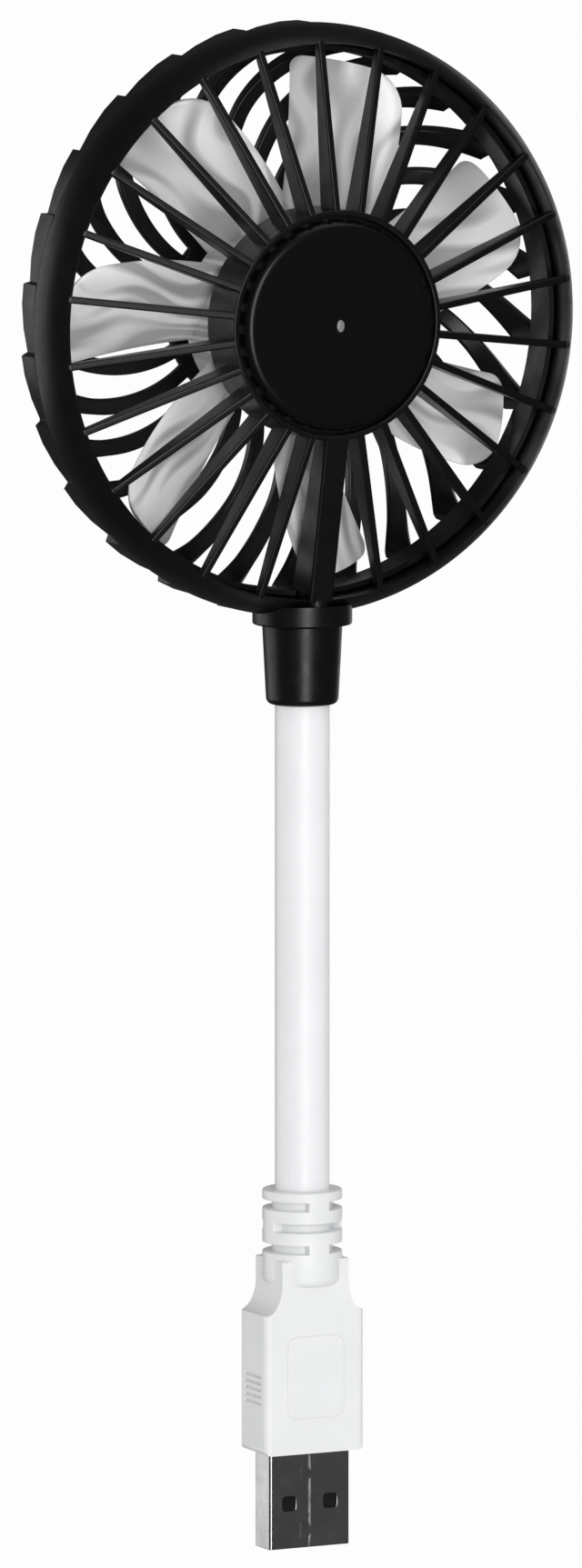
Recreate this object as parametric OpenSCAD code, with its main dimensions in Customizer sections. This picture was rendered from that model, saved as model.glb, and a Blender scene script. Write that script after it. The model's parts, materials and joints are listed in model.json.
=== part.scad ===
// Gooseneck desk fan on a USB plug: caged head, seven-blade impeller on an
// outer-rotor motor, bendable stem modelled as a chain of short hinged links.
// Millimetres. +Z up the stem, -Y is the side the air leaves.
// z = 0 is the open end of the plug's metal shell.

/* [Plug] */
// Width of the plug's metal shell
shell_w = 12.0; // [11.6:0.1:12.4]
// Thickness of the plug's metal shell
shell_t = 4.5; // [4.3:0.1:4.8]
// Sheet thickness of the shell
shell_wall = 0.3; // [0.25:0.05:0.4]
// Corner radius of the shell
shell_corner = 0.6; // [0.4:0.1:0.9]
// Length of shell that shows below the grip
shell_out = 13.0; // [12:0.5:15]
// Length of shell held inside the grip
shell_hidden = 4.5; // [3:0.5:6]
// Side of the square latch windows
window_s = 2.0; // [1.6:0.1:2.4]
// Distance between the two latch windows
window_pitch = 6.14; // [5.5:0.1:6.5]
// Height of the latch windows above the open end
window_z = 6.1; // [5:0.1:7]
// Thickness of the contact carrier
tongue_t = 1.84; // [1.6:0.02:2.0]
// Setback of the contact carrier from the open end
tongue_setback = 0.5; // [0.3:0.1:1]
// Width of one contact
contact_w = 1.1; // [0.9:0.1:1.3]
// Thickness of one contact
contact_t = 0.25; // [0.2:0.05:0.3]
// Pitch of the outer contacts from the plug's middle
contact_outer = 3.5; // [3.4:0.1:3.6]
// Pitch of the inner contacts from the plug's middle
contact_inner = 1.0; // [0.9:0.1:1.2]
// Length of the contacts' solder tails above the shell
contact_tail = 2.6; // [2:0.2:3.4]
// Width of the grip
grip_w = 14.6; // [14:0.2:16]
// Thickness of the grip
grip_t = 7.6; // [7.4:0.2:8.6]
// Length of the grip's straight part
grip_len = 18.9; // [17:0.5:21]
// Corner radius of the grip
grip_corner = 1.0; // [0.6:0.1:1.4]
// Length of the shoulder above the grip
shoulder_len = 7.2; // [6:0.4:9]
// Width of the shoulder at its top
shoulder_w = 9.9; // [9:0.1:10.4]
// Height over which the shoulder narrows
shoulder_curve = 4.2; // [3:0.2:5.6]
// Depth that the strain relief runs down into the shoulder
relief_sink = 3.6; // [2:0.2:4.6]
// Width of the thumb panel
panel_w = 8.8; // [7:0.2:10]
// Height of the thumb panel
panel_h = 11.6; // [9:0.4:13]
// Height of the thumb panel above the grip's face
panel_rise = 0.25; // [0.15:0.05:0.4]
// Corner radius of the thumb panel
panel_corner = 1.4; // [1:0.1:2.4]
// Number of grip grooves on each edge
groove_n = 5; // [3:1:7]
// Pitch of the grip grooves
groove_pitch = 0.9; // [0.8:0.1:1.2]
// Length of one grip groove
groove_len = 5.0; // [4:0.2:6]
// Depth of the grip grooves
groove_depth = 0.35; // [0.2:0.05:0.5]
// Width of the inner mould
inner_w = 12.3; // [11.8:0.1:12.8]
// Thickness of the inner mould
inner_t = 5.0; // [4.6:0.1:5.6]
// Diameter of the strain relief
relief_d = 10.7; // [10:0.1:11.4]
// Height of the strain relief
relief_len = 9.2; // [8:0.4:11]
// Height of one strain relief slit
slit_h = 1.2; // [0.8:0.1:1.4]
// Height of the first slit above the relief's foot
slit_first = 0.9; // [0.6:0.1:1.4]
// Pitch of the slits
slit_pitch = 2.9; // [2.6:0.1:3.2]
// Width of the bridges that the slits leave
bridge_w = 3.0; // [2:0.2:4]

/* [Stem] */
// Diameter of the flexible stem
stem_d = 7.3; // [6.6:0.1:8]
// Bore of the stem's jacket
jacket_bore = 4.4; // [4.2:0.1:4.8]
// Length of stem that shows
stem_len = 65.2; // [58:1:76]
// Diameter of the soft iron core wire
core_d = 1.8; // [1.4:0.1:2.0]
// Diameter of one insulated lead
lead_d = 1.0; // [0.8:0.1:1.1]
// Length of the core wire held in the inner mould
core_grip = 6; // [4:1:8]
// Bend limit of one link joint, in degrees
link_bend = 22.5; // [18:0.5:25]
// Length of fixed stem between the relief and the first joint
stem_foot = 4.2; // [3.4:0.2:5]
// Length of fixed stem between the last joint and the neck
stem_head = 3.6; // [3:0.2:4.4]

/* [Neck] */
// Diameter of the neck at its foot
neck_d_low = 9.7; // [9.3:0.1:10.2]
// Diameter of the neck at its top
neck_d_top = 10.7; // [10.4:0.1:12]
// Height of the neck
neck_len = 10.7; // [10:0.5:13]
// Depth that the stem enters the neck
stem_socket = 6.0; // [4:0.5:7]
// Thickness of the neck's inner partition
partition_t = 2.4; // [1.6:0.2:3]
// Diameter of the collar under the cage
collar_d = 13.3; // [12.6:0.1:14.5]
// Height of the collar
collar_h = 2.8; // [2.4:0.1:3.4]
// Depth that the cage sinks into the collar
collar_bite = 1.7; // [1.4:0.1:2.0]
// Diameter of the spigot on top of the neck
spigot_d = 8.9; // [8.2:0.1:9.4]
// Height of the spigot
spigot_h = 1.5; // [0.8:0.1:1.8]

/* [Cage] */
// Outside diameter of the cage
cage_d = 79; // [76:0.5:82]
// Width of the front rim, seen from the front
rim_wall = 2.6; // [2.4:0.1:3.1]
// Depth of the front rim's nose in front of the widest line
rim_nose = 5.9; // [5:0.1:7]
// Distance of the parting line behind the widest line
split_back = 0.2; // [0.1:0.1:0.6]
// Number of equal divisions of both guards
spoke_n = 26; // [20:1:30]
// Thickness of one front spoke
spoke_t = 0.95; // [0.6:0.05:1.2]
// Depth of a spoke at the hub
spoke_hub_depth = 4.3; // [3.5:0.1:4.8]
// Depth of a spoke at the rim
spoke_rim_depth = 1.3; // [0.8:0.1:2.6]
// Width of the lead column
column_w = 3.5; // [3.2:0.1:4.4]
// Depth of the lead column at the hub
column_hub_depth = 3.4; // [2.8:0.1:4]
// Outside diameter of the hub cup
cup_d = 30.6; // [30:0.2:32]
// Wall of the hub cup
cup_wall = 0.8; // [0.6:0.1:1]
// Distance of the hub cup's front edge in front of the widest line
cup_front = 10.5; // [10:0.1:12]
// Distance of the hub cup's rear edge in front of the widest line
cup_back = 2.7; // [2:0.1:3]
// Thickness of the motor floor in the hub cup
floor_t = 1.0; // [0.8:0.1:1.4]
// Depth of the lead space in front of the motor floor
lead_space = 1.3; // [1.2:0.1:1.6]
// Height of the cap's seat ledge in front of the lead space
ledge_t = 0.4; // [0.3:0.1:0.6]
// Width of the cap's seat ledge
ledge_w = 1.9; // [1.4:0.1:2.4]
// Diameter of the hub cap
cap_d = 27.9; // [27:0.1:28.4]
// Height of the hub cap above its seat
cap_h = 2.2; // [1.6:0.1:2.8]
// Edge rounding of the hub cap
cap_round = 1.3; // [0.8:0.1:1.5]
// Wall of the hub cap
cap_wall = 1.2; // [0.8:0.1:1.4]
// Number of scallops round the hub cap
scallop_n = 30; // [20:1:36]
// Radius of one scallop
scallop_r = 0.8; // [0.5:0.1:1.1]
// Depth of one scallop
scallop_depth = 0.4; // [0.2:0.05:0.5]
// Diameter of the cap's centre pip
pip_d = 1.3; // [1:0.1:1.8]
// Depth of the rear guard's straight wall
ring_depth = 4.2; // [3.4:0.1:4.6]
// Wall of the rear guard's ring
ring_wall = 1.5; // [1.2:0.1:1.8]
// Height of the saw-tooth pads round the rear guard
pad_h = 1.0; // [0.5:0.1:1.4]
// Length of the snap lip inside the front rim
lip_len = 2.2; // [1.6:0.1:3]
// Wall of the snap lip
lip_wall = 0.9; // [0.7:0.1:1.2]
// Width of one swirl rib where it leaves the hub
swirl_w = 1.8; // [1.4:0.1:2.1]
// Extra width of a swirl rib at its outer end
swirl_flare = 0.6; // [0:0.1:0.9]
// Depth of one swirl rib
swirl_depth = 1.5; // [1.2:0.1:1.8]
// Clock angle of the first swirl rib, in degrees
swirl_phase = -2; // [-7:0.5:7]
// Diameter of the rear guard's hub
rear_hub_d = 25.6; // [24:0.4:30]
// Depth of the rear guard at its hub, behind the widest line
rear_hub_back = 15.6; // [15:0.2:19]
// Depth of the rear guard where its round shoulder begins, behind the widest line
shoulder_back = 14.5; // [14:0.1:15]
// Radius of the rear guard's shoulder
shoulder_r = 12.4; // [11.8:0.2:12.6]

/* [Impeller] */
// Number of blades
blade_n = 7; // [5:1:9]
// Clearance between the blades' tips and the rear guard's lip
tip_gap = 1.2; // [1:0.1:3]
// Diameter of the impeller's hub
imp_hub_d = 26.8; // [26.4:0.1:27.6]
// Distance of the hub's front edge in front of the widest line
imp_front = 3.4; // [3:0.1:4]
// Distance of the hub's rear edge behind the widest line
imp_back = 7.8; // [7.4:0.1:9]
// Distance of the blades' front edge in front of the widest line
blade_front = 1.3; // [0.8:0.1:2.0]
// Distance of the blades' rear edge behind the widest line
blade_back = 7.6; // [6:0.1:7.8]
// Width of a blade at its root, seen from the front
blade_root_w = 11.0; // [8:0.2:11.4]
// Width of a blade near its tip, seen from the front
blade_tip_w = 13.6; // [10:0.2:15]
// Thickness of a blade
blade_t = 1.1; // [0.9:0.05:1.6]
// Camber of a blade
blade_camber = 1.0; // [0:0.1:1.6]
// Radius of a blade's tip corner on its front edge
blade_corner = 4.0; // [2:0.2:6]
// Radius of a blade's tip corner on its rear edge
blade_corner_rear = 1.6; // [1:0.2:5]
// Angle by which a blade's tip trails its root, in degrees
blade_sweep = 10; // [0:1:15]
// Clock angle of the first blade's root
blade_phase = 24; // [0:1:51]
// Thickness of the impeller hub's web
imp_web = 1.2; // [0.9:0.1:1.6]
// Thickness of the impeller hub's walls
imp_wall = 1.2; // [1:0.1:1.4]

/* [Motor] */
// Diameter of the rotor shaft
shaft_d = 2.0; // [1.8:0.1:2.2]
// Running clearance of the shaft in its bearing, on the radius
shaft_play = 0.03; // [0.02:0.01:0.06]
// Diameter of the sleeve bearing
sleeve_d = 3.9; // [3.6:0.1:4.2]
// Wall of the brass bearing tube
tube_wall = 0.5; // [0.4:0.05:0.7]
// Length of the sleeve bearing
sleeve_len = 7.9; // [6:0.1:8.1]
// Thickness of the circuit board
board_t = 0.8; // [0.6:0.1:1.0]
// Diameter of the circuit board
board_d = 22.4; // [20:0.2:23]
// Diameter of the stator
stator_d = 19.6; // [18:0.1:20]
// Height of the stator's core
core_stack = 3.0; // [2.4:0.1:3.4]
// Distance of the stator core's front face in front of the widest line
core_front = 2.2; // [1.8:0.1:2.4]
// Width of one stator tooth
tooth_w = 2.6; // [2:0.1:3]
// Thickness of the pole shoes
shoe_t = 1.2; // [0.8:0.1:1.4]
// Thickness of the stator's insulator
insul_t = 0.5; // [0.4:0.05:0.6]
// Thickness of the windings
coil_t = 1.4; // [1:0.1:1.45]
// Air gap between stator and magnet
air_gap = 0.4; // [0.3:0.05:0.6]
// Thickness of the magnet ring
magnet_t = 1.5; // [1.2:0.1:1.7]
// Height of the magnet ring
magnet_h = 6.2; // [5:0.1:6.4]
// Sheet thickness of the rotor yoke
yoke_t = 0.6; // [0.5:0.05:0.7]
// Diameter of the rotor bush
bush_d = 5.6; // [5:0.1:6.4]

/* [Fits] */
// Gap between fixed pieces that are pressed or glued
fit_gap = 0.05; // [0.03:0.01:0.08]
// Gap between pieces of the cage that clip together
clip_gap = 0.1; // [0.08:0.01:0.15]

/* [Hidden] */
$fn = 64;
eps = 0.01;
links = 8;

// heights up the stem
z_grip = shell_out;
z_shoulder = z_grip + grip_len;
z_relief = z_shoulder + shoulder_len;
z_stem = z_relief + relief_len;
z_neck = z_stem + stem_len;
z_collar = z_neck + neck_len;
head_z = z_collar + collar_h - collar_bite + cage_d/2;
z_shell_end = shell_out + shell_hidden;
panel_z = z_grip + grip_len/2 + 0.9;   // middle of the thumb panels
groove_z = z_grip + grip_len/2 - 0.7;  // middle of the grip grooves
z_inner_top = z_shoulder - 1.9;
z_joint1 = z_stem + stem_foot;
z_jointN = z_neck - stem_head;
link_pitch = (z_jointN - z_joint1)/(links - 1);
function joint_z(k) = z_joint1 + (k - 1)*link_pitch;

// stem
stem_r = stem_d/2;
core_r = core_d/2;
lead_r = lead_d/2;
lead_x = core_r + lead_r + fit_gap;
wedge = link_bend/2 + 0.5;         // slope of a link's end faces
ridge_gap = 0.16;                  // gap between two facing ridges

// cage, measured forwards (+) and backwards (-) from the widest line
cage_r = cage_d/2;
rim_in = cage_r - rim_wall;
nose_dr = cage_r - rim_in;
rim_arc = (nose_dr*nose_dr + rim_nose*rim_nose)/(2*nose_dr);
pitch_a = 360/spoke_n;
column_k = floor(spoke_n/2);
cup_r = cup_d/2;
cup_in = cup_r - cup_wall;
ledge_front = cup_front - (cap_h - 0.8);
lead_front = ledge_front - ledge_t;
floor_front = lead_front - lead_space;
floor_back = floor_front - floor_t;
ledge_in = cup_in - ledge_w;
cap_face = ledge_front + cap_h;
lead_plane = floor_front + lead_r + fit_gap/2;
column_in = cage_r - 2.3;
lead_run_x = lead_r + fit_gap;
slot_w = 2*(lead_run_x + lead_r + fit_gap);
groove_back = lead_d + 2*fit_gap + 0.45;
pad_top = cage_r;
ring_out = cage_r - pad_h;
ring_in = ring_out - ring_wall;
lip_out = rim_in - clip_gap;
swirl_start = rear_hub_d/2 + swirl_w/2;
// a rib starts radially at swirl_start and reaches the ring after a quarter turn
swirl_reach = ring_out + 0.14;
swirl_arc = (sqrt(2*swirl_reach*swirl_reach - swirl_start*swirl_start) - swirl_start)/2;

// motor, along the fan's axis
board_front = floor_back;
board_back = board_front - board_t;
core_back = core_front - core_stack;
coil_front = core_front + insul_t + coil_t;
coil_back = core_back - insul_t - coil_t;
tube_out = sleeve_d/2 + fit_gap + tube_wall;
boss_front = floor_front + 1.0;
tube_front = floor_front + 0.15;
tube_back = coil_back + 0.2;
sleeve_back = tube_back + 0.1;
sleeve_front = sleeve_back + sleeve_len;
magnet_in = stator_d/2 + air_gap;
magnet_out = magnet_in + magnet_t;
yoke_in = magnet_out + fit_gap;
yoke_out = yoke_in + yoke_t;
yoke_web_front = coil_back - 0.8;
yoke_web_back = yoke_web_front - yoke_t;
magnet_back = yoke_web_front + 1.2;
imp_hub_r = imp_hub_d/2;
web_front = yoke_web_back - fit_gap;
web_back = web_front - imp_web;
bush_back = web_back - 1.2;
shaft_r = shaft_d/2;
shaft_front = tube_front - 0.75;

// ---- helpers ----

// Rounded rectangle centred on the stem's axis.
module round_rect(w, t, r) {
  union() {
    square([w - 2*r, t], center = true);
    square([w, t - 2*r], center = true);
    for (sx = [-1, 1], sy = [-1, 1])
      translate([sx*(w/2 - r), sy*(t/2 - r)]) circle(r);
  }
}

// Local frame of the head: x to the right, y up, z forwards out of the fan.
module at_head() { translate([0, 0, head_z]) rotate([90, 0, 0]) children(); }

// Ring or disc of the head between two planes along its axis.
module disc(r, back, front) { translate([0, 0, back]) cylinder(r = r, h = front - back); }
module ring(r_out, r_in, back, front) {
  difference() {
    disc(r_out, back, front);
    disc(r_in, back - 1, front + 1);
  }
}

// Turns a radial part, drawn along +x, to a clock angle seen from the front.
module clock(a) { rotate([0, 0, 90 - a]) children(); }

// Wire of radius r through a list of points, with mitred bends. The flat
// vector is one that no stretch of the route is parallel to.
function unit(v) = v/norm(v);
function wire_ring(p, into, out, r, flat, n) = let (
    t = unit(into + out),
    u = unit(flat - (flat*into)*into),
    w = cross(into, u))
  [for (j = [0:n - 1]) let (v = r*(cos(360*j/n)*u + sin(360*j/n)*w))
    p + v - ((v*t)/(into*t))*into];
module wire(pts, r, flat, n = 10) {
  last = len(pts) - 1;
  dir = [for (i = [0:last - 1]) unit(pts[i + 1] - pts[i])];
  rings = [for (i = [0:last]) each
    wire_ring(pts[i], dir[max(0, i - 1)], dir[min(last - 1, i)], r/cos(180/n), flat, n)];
  polyhedron(rings, concat(
    [[for (j = [0:n - 1]) j]],
    [[for (j = [0:n - 1]) last*n + n - 1 - j]],
    [for (i = [0:last - 1], j = [0:n - 1]) each [
      [i*n + j, (i + 1)*n + (j + 1) % n, i*n + (j + 1) % n],
      [i*n + j, (i + 1)*n + j, (i + 1)*n + (j + 1) % n]]]));
}

// ---- plug ----

module shell_outline(grow = 0) {
  round_rect(shell_w + 2*grow, shell_t + 2*grow, shell_corner + grow);
}

module usb_shell() {
  color("silver") difference() {
    linear_extrude(z_shell_end) shell_outline();
    translate([0, 0, -1]) linear_extrude(z_shell_end + 2)
      round_rect(shell_w - 2*shell_wall, shell_t - 2*shell_wall, shell_corner - shell_wall);
    for (s = [-1, 1])
      translate([s*window_pitch/2 - window_s/2, -shell_t, window_z - window_s/2])
        cube([window_s, 2*shell_t, window_s]);
  }
}

in_w = shell_w - 2*shell_wall - 2*fit_gap;
in_t = shell_t - 2*shell_wall - 2*fit_gap;
tongue_y = tongue_t - in_t/2;          // face of the carrier that bears the contacts
contact_xs = [-contact_outer, -contact_inner, contact_inner, contact_outer];

module contact_bar(grow = 0) {
  for (x = contact_xs)
    translate([x - contact_w/2 - grow, tongue_y - contact_t/2 - grow, 1.2 - grow])
      cube([contact_w + 2*grow, contact_t + 2*grow, z_shell_end + contact_tail - 1.2 + 2*grow]);
}

module contact_carrier() {
  color("#202020") difference() {
    translate([-in_w/2 + 0.2, -in_t/2, tongue_setback])
      cube([in_w - 0.4, tongue_t, shell_out - tongue_setback - 0.6]);
    contact_bar(fit_gap);
  }
}

module contacts() { color("gold") contact_bar(); }

// Route of one lead in the plug: down the stem, then out to a contact's tail.
lead_bend_z = z_inner_top - 1.0;
lead_end_z = z_shell_end + contact_tail - 1.4;
lead_end_y = tongue_y + contact_t/2 + lead_r + fit_gap;
module plug_lead(s, r, top) {
  wire([[s*lead_x, 0, top], [s*lead_x, 0, lead_bend_z],
        [s*contact_outer, lead_end_y, lead_end_z + 2.2],
        [s*contact_outer, lead_end_y, lead_end_z]], r, [0, 1, 0]);
}

module plug_leads() {
  color("firebrick") intersection() {
    union() for (s = [-1, 1]) plug_lead(s, lead_r, z_joint1 + 1);
    link_space(0);
  }
}

module inner_mould() {
  color("ivory") difference() {
    union() {
      translate([0, 0, shell_out - 0.6 + fit_gap])
        linear_extrude(z_shell_end - shell_out + 0.6)
          round_rect(in_w, in_t, shell_corner - shell_wall);
      translate([0, 0, z_shell_end + fit_gap])
        linear_extrude(z_inner_top - z_shell_end - fit_gap)
          round_rect(inner_w, inner_t, 1.0);
    }
    contact_bar(fit_gap);
    for (s = [-1, 1]) plug_lead(s, lead_r + fit_gap, z_inner_top + 1);
    translate([0, 0, z_inner_top - core_grip]) cylinder(r = core_r + fit_gap, h = core_grip + 1);
  }
}

// Shoulder: a plate as thick as the grip, its edges drawn in along a hollow curve.
module shoulder_plate() {
  foot = grip_w/2;
  top = shoulder_w/2;
  side = [for (a = [0:10:90]) [top + (foot - top)*(1 - sin(a)),
                               z_shoulder + shoulder_curve*(1 - cos(a))]];
  edge = concat([[foot, z_shoulder - 1]], side, [[top, z_relief]]);
  intersection() {
    rotate([90, 0, 0]) linear_extrude(2*grip_t, center = true)
      polygon(concat(edge, [for (i = [len(edge) - 1:-1:0]) [-edge[i][0], edge[i][1]]]));
    translate([0, 0, z_shoulder - 1]) linear_extrude(shoulder_len + 1)
      round_rect(grip_w, grip_t, grip_corner);
  }
}

module plug_grip() {
  relief_r = relief_d/2;
  color("white") difference() {
    union() {
      translate([0, 0, z_grip]) linear_extrude(grip_len) round_rect(grip_w, grip_t, grip_corner);
      shoulder_plate();
      // thumb panels
      for (s = [0, 180]) rotate([0, 0, s])
        translate([0, -grip_t/2 + 1, panel_z]) rotate([90, 0, 0])
          linear_extrude(1 + panel_rise) round_rect(panel_w, panel_h, panel_corner);
      translate([0, 0, z_relief - relief_sink]) cylinder(r = relief_r, h = relief_len + relief_sink);
    }
    // seats of the shell, the inner mould and the stem
    translate([0, 0, z_grip - 1]) linear_extrude(shell_hidden + 1 + fit_gap)
      shell_outline(fit_gap);
    translate([0, 0, z_shell_end]) linear_extrude(z_inner_top - z_shell_end + fit_gap)
      round_rect(inner_w + 2*fit_gap, inner_t + 2*fit_gap, 1.0 + fit_gap);
    translate([0, 0, z_inner_top]) cylinder(r = stem_r + fit_gap, h = z_stem - z_inner_top + 1);
    // grip grooves
    for (s = [-1, 1], i = [0:groove_n - 1])
      translate([s*(grip_w/2 - groove_depth + 1), 0, groove_z + (i - (groove_n - 1)/2)*groove_pitch])
        cube([2, groove_len, groove_pitch/2], center = true);
    // relief slits, bridged at the front and back or at the two sides in turn
    for (i = [0:2]) translate([0, 0, z_relief + slit_first + i*slit_pitch]) difference() {
      cylinder(r = relief_d, h = slit_h);
      translate([0, 0, -1]) cylinder(r = stem_r + fit_gap + 0.35, h = slit_h + 2);
      rotate([0, 0, i == 1 ? 90 : 0])
        cube([bridge_w, 3*relief_d, 3*slit_h], center = true);
    }
  }
}

// ---- stem ----

// Space of link k: between joint k and joint k + 1, its ends sloped so that the
// joint can bend. Odd joints bend to the front and back, even ones sideways.
module wedge_cut(k, side) {
  // removes what lies beyond joint k; side 1 cuts below it, -1 above it
  turn = (k % 2 == 1) ? 90 : 0;
  big = 3*stem_d;
  translate([0, 0, joint_z(k) + side*ridge_gap/2]) rotate([0, 0, turn]) rotate([90, 0, 0])
    linear_extrude(big, center = true)
      polygon([[0, 0], [big, side*big*tan(wedge)], [big, -side*big],
               [-big, -side*big], [-big, side*big*tan(wedge)]]);
}

module link_space(k) {
  low = k == 0 ? 0 : joint_z(k) - 1;
  top = k == links ? head_z : joint_z(k + 1) + 1;
  difference() {
    translate([0, 0, low]) cylinder(r = 3*stem_d, h = top - low);
    if (k > 0) wedge_cut(k, 1);
    if (k < links) wedge_cut(k + 1, -1);
  }
}

z_socket = z_neck + stem_socket;
function link_low(k) = k == 0 ? z_inner_top : joint_z(k) - 2;
function link_top(k) = k == links ? z_socket : joint_z(k + 1) + 2;

module jacket(k) {
  color("white") intersection() {
    difference() {
      translate([0, 0, link_low(k)]) cylinder(r = stem_r, h = link_top(k) - link_low(k));
      translate([0, 0, link_low(k) - 1])
        cylinder(r = jacket_bore/2, h = link_top(k) - link_low(k) + 2);
    }
    link_space(k);
  }
}

module core_wire(k) {
  low = k == 0 ? z_inner_top - core_grip + 0.2 : link_low(k);
  top = k == links ? z_socket + partition_t - 0.2 : link_top(k);
  color("dimgray") intersection() {
    translate([0, 0, low]) cylinder(r = core_r, h = top - low, $fn = 32);
    link_space(k);
  }
}

module link_leads(k) {
  color("firebrick") intersection() {
    for (s = [-1, 1]) translate([s*lead_x, 0, link_low(k)])
      cylinder(r = lead_r, h = link_top(k) - link_low(k), $fn = 24);
    link_space(k);
  }
}

module stem_jacket_base() { jacket(0); }
module stem_jacket_1() { jacket(1); }
module stem_jacket_2() { jacket(2); }
module stem_jacket_3() { jacket(3); }
module stem_jacket_4() { jacket(4); }
module stem_jacket_5() { jacket(5); }
module stem_jacket_6() { jacket(6); }
module stem_jacket_7() { jacket(7); }
module stem_jacket_top() { jacket(links); }
module stem_core_base() { core_wire(0); }
module stem_core_1() { core_wire(1); }
module stem_core_2() { core_wire(2); }
module stem_core_3() { core_wire(3); }
module stem_core_4() { core_wire(4); }
module stem_core_5() { core_wire(5); }
module stem_core_6() { core_wire(6); }
module stem_core_7() { core_wire(7); }
module stem_core_top() { core_wire(links); }
module stem_leads_1() { link_leads(1); }
module stem_leads_2() { link_leads(2); }
module stem_leads_3() { link_leads(3); }
module stem_leads_4() { link_leads(4); }
module stem_leads_5() { link_leads(5); }
module stem_leads_6() { link_leads(6); }
module stem_leads_7() { link_leads(7); }

// ---- neck ----

// Envelope of the rear guard's wall, which the collar and the spigot stay clear of.
module rear_keepout() {
  at_head() disc(pad_top + clip_gap, -cage_d, -split_back + clip_gap);
}

module neck_sleeve() {
  low_r = neck_d_low/2;
  round_r = 0.9;
  color("#202020") difference() {
    union() {
      translate([0, 0, z_neck]) rotate_extrude() difference() {
        union() {
          polygon([[0, 0], [low_r - round_r, 0], [low_r, round_r],
                   [neck_d_top/2, neck_len], [0, neck_len]]);
          translate([low_r - round_r, round_r]) circle(round_r);
        }
        translate([-low_r, -1]) square([low_r, neck_len + 2]);
      }
      translate([0, 0, z_collar - eps]) cylinder(r = spigot_d/2, h = spigot_h + eps);
    }
    translate([0, 0, z_neck - 1]) cylinder(r = stem_r + fit_gap, h = stem_socket + 1);
    translate([0, 0, z_socket + partition_t]) cylinder(r = spigot_d/2 - 1.2, h = neck_len);
    translate([0, 0, z_neck]) cylinder(r = core_r + fit_gap, h = neck_len);
    for (s = [-1, 1]) translate([s*lead_x, 0, z_neck])
      cylinder(r = lead_r + fit_gap, h = neck_len, $fn = 32);
    rear_keepout();
  }
}

// ---- cage ----

// Front and rear lines of the spokes and of the lead column, as (radius, forward).
spoke_foot = cup_r - cup_wall/2;
spoke_end = rim_in + 0.4;
rim_z = rim_nose - 0.2;
function column_rear(r) = -split_back + (cup_front - column_hub_depth + split_back)
                          *(column_in - r)/(column_in - cup_r);

module spoke() {
  rotate([90, 0, 0]) linear_extrude(spoke_t, center = true)
    polygon([[spoke_foot, cup_front], [spoke_end, rim_z], [spoke_end, rim_z - spoke_rim_depth],
             [spoke_foot, cup_front - spoke_hub_depth]]);
}

module lead_groove() {
  // along the column's rear face, then through the rim into the collar
  rotate([90, 0, 0]) linear_extrude(slot_w, center = true)
    polygon([[column_in, column_rear(column_in) + groove_back],
             [cup_r - 0.2, lead_front], [cup_r - 0.2, column_rear(cup_r) - 2],
             [cup_r, column_rear(cup_r) - 2], [column_in, -split_back - 2]]);
  translate([rim_in - 1, -slot_w/2, -split_back - 2])
    cube([cage_r, slot_w, groove_back + 2]);
  // through the cup's wall, in front of the motor floor
  translate([board_d/2 - 0.9, -slot_w/2, floor_front])
    cube([cup_r - board_d/2 + 1, slot_w, lead_space]);
  translate([board_d/2 - 0.9, -slot_w/2, floor_back - 1])
    cube([lead_d + 2*fit_gap + 0.2, slot_w, floor_t + 2]);
}

module lead_column() {
  rotate([90, 0, 0]) linear_extrude(column_w, center = true)
    polygon([[spoke_foot, cup_front], [spoke_end, rim_z], [cage_r - 0.8, rim_nose - 2.9],
             [cage_r - 0.8, -split_back], [column_in, -split_back],
             [spoke_foot, column_rear(cup_r)]]);
}

module front_rim() {
  rotate_extrude($fn = 128) intersection() {
    translate([cage_r - rim_arc, 0]) circle(rim_arc, $fn = 96);
    translate([rim_in, -split_back]) square([cage_r, rim_nose + 1]);
  }
}

module collar() {
  translate([0, 0, z_collar]) cylinder(r = collar_d/2, h = collar_h);
}

module front_guard() {
  color("#1c1c1c") difference() {
    union() {
      at_head() union() {
        front_rim();
        for (k = [0:spoke_n - 1]) if (k != column_k) clock(k*pitch_a) spoke();
        clock(column_k*pitch_a) lead_column();
        ring(cup_r, cup_in, cup_back, cup_front);
        ring(cup_in + eps, ledge_in, floor_back, ledge_front);
        disc(ledge_in + eps, floor_back, floor_front);
        disc(tube_out + 1.1, board_back - 0.3, boss_front);
      }
      difference() {
        collar();
        at_head() disc(rim_in + 0.6, -cage_d, cage_d);
        rear_keepout();
      }
      // round foot of the column, standing on the collar
      translate([0, -(rim_nose - column_w/2), z_collar + 1])
        cylinder(r = column_w/2, h = collar_h + 0.6);
    }
    at_head() {
      clock(column_k*pitch_a) lead_groove();
      disc(tube_out + fit_gap, board_back - 1, tube_front);
    }
    translate([0, 0, z_collar - 1]) cylinder(r = spigot_d/2 + fit_gap, h = spigot_h + 1 + fit_gap);
  }
}

module hub_cap() {
  cap_r = cap_d/2;
  spig = ledge_in - clip_gap;
  color("#161616") at_head() difference() {
    union() {
      rotate_extrude($fn = 96) intersection() {
        union() {
          translate([0, ledge_front]) square([cap_r - cap_round, cap_h]);
          translate([0, ledge_front]) square([cap_r, cap_h - cap_round]);
          translate([cap_r - cap_round, cap_face - cap_round]) circle(cap_round);
        }
        translate([0, ledge_front]) square([cap_r, cap_h]);
      }
      disc(spig, ledge_front - 0.4, ledge_front + eps);
      intersection() {
        translate([0, 0, cap_face - pip_d/3]) sphere(pip_d/2);
        disc(pip_d, ledge_front, cap_face + pip_d);
      }
    }
    disc(spig - 1, ledge_front - 1, cap_face - cap_wall);
    for (k = [0:scallop_n - 1]) rotate([0, 0, k*360/scallop_n])
      translate([cap_r - scallop_depth + scallop_r, 0, ledge_front - 1])
        cylinder(r = scallop_r, h = cap_h + 2, $fn = 24);
  }
}

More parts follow.
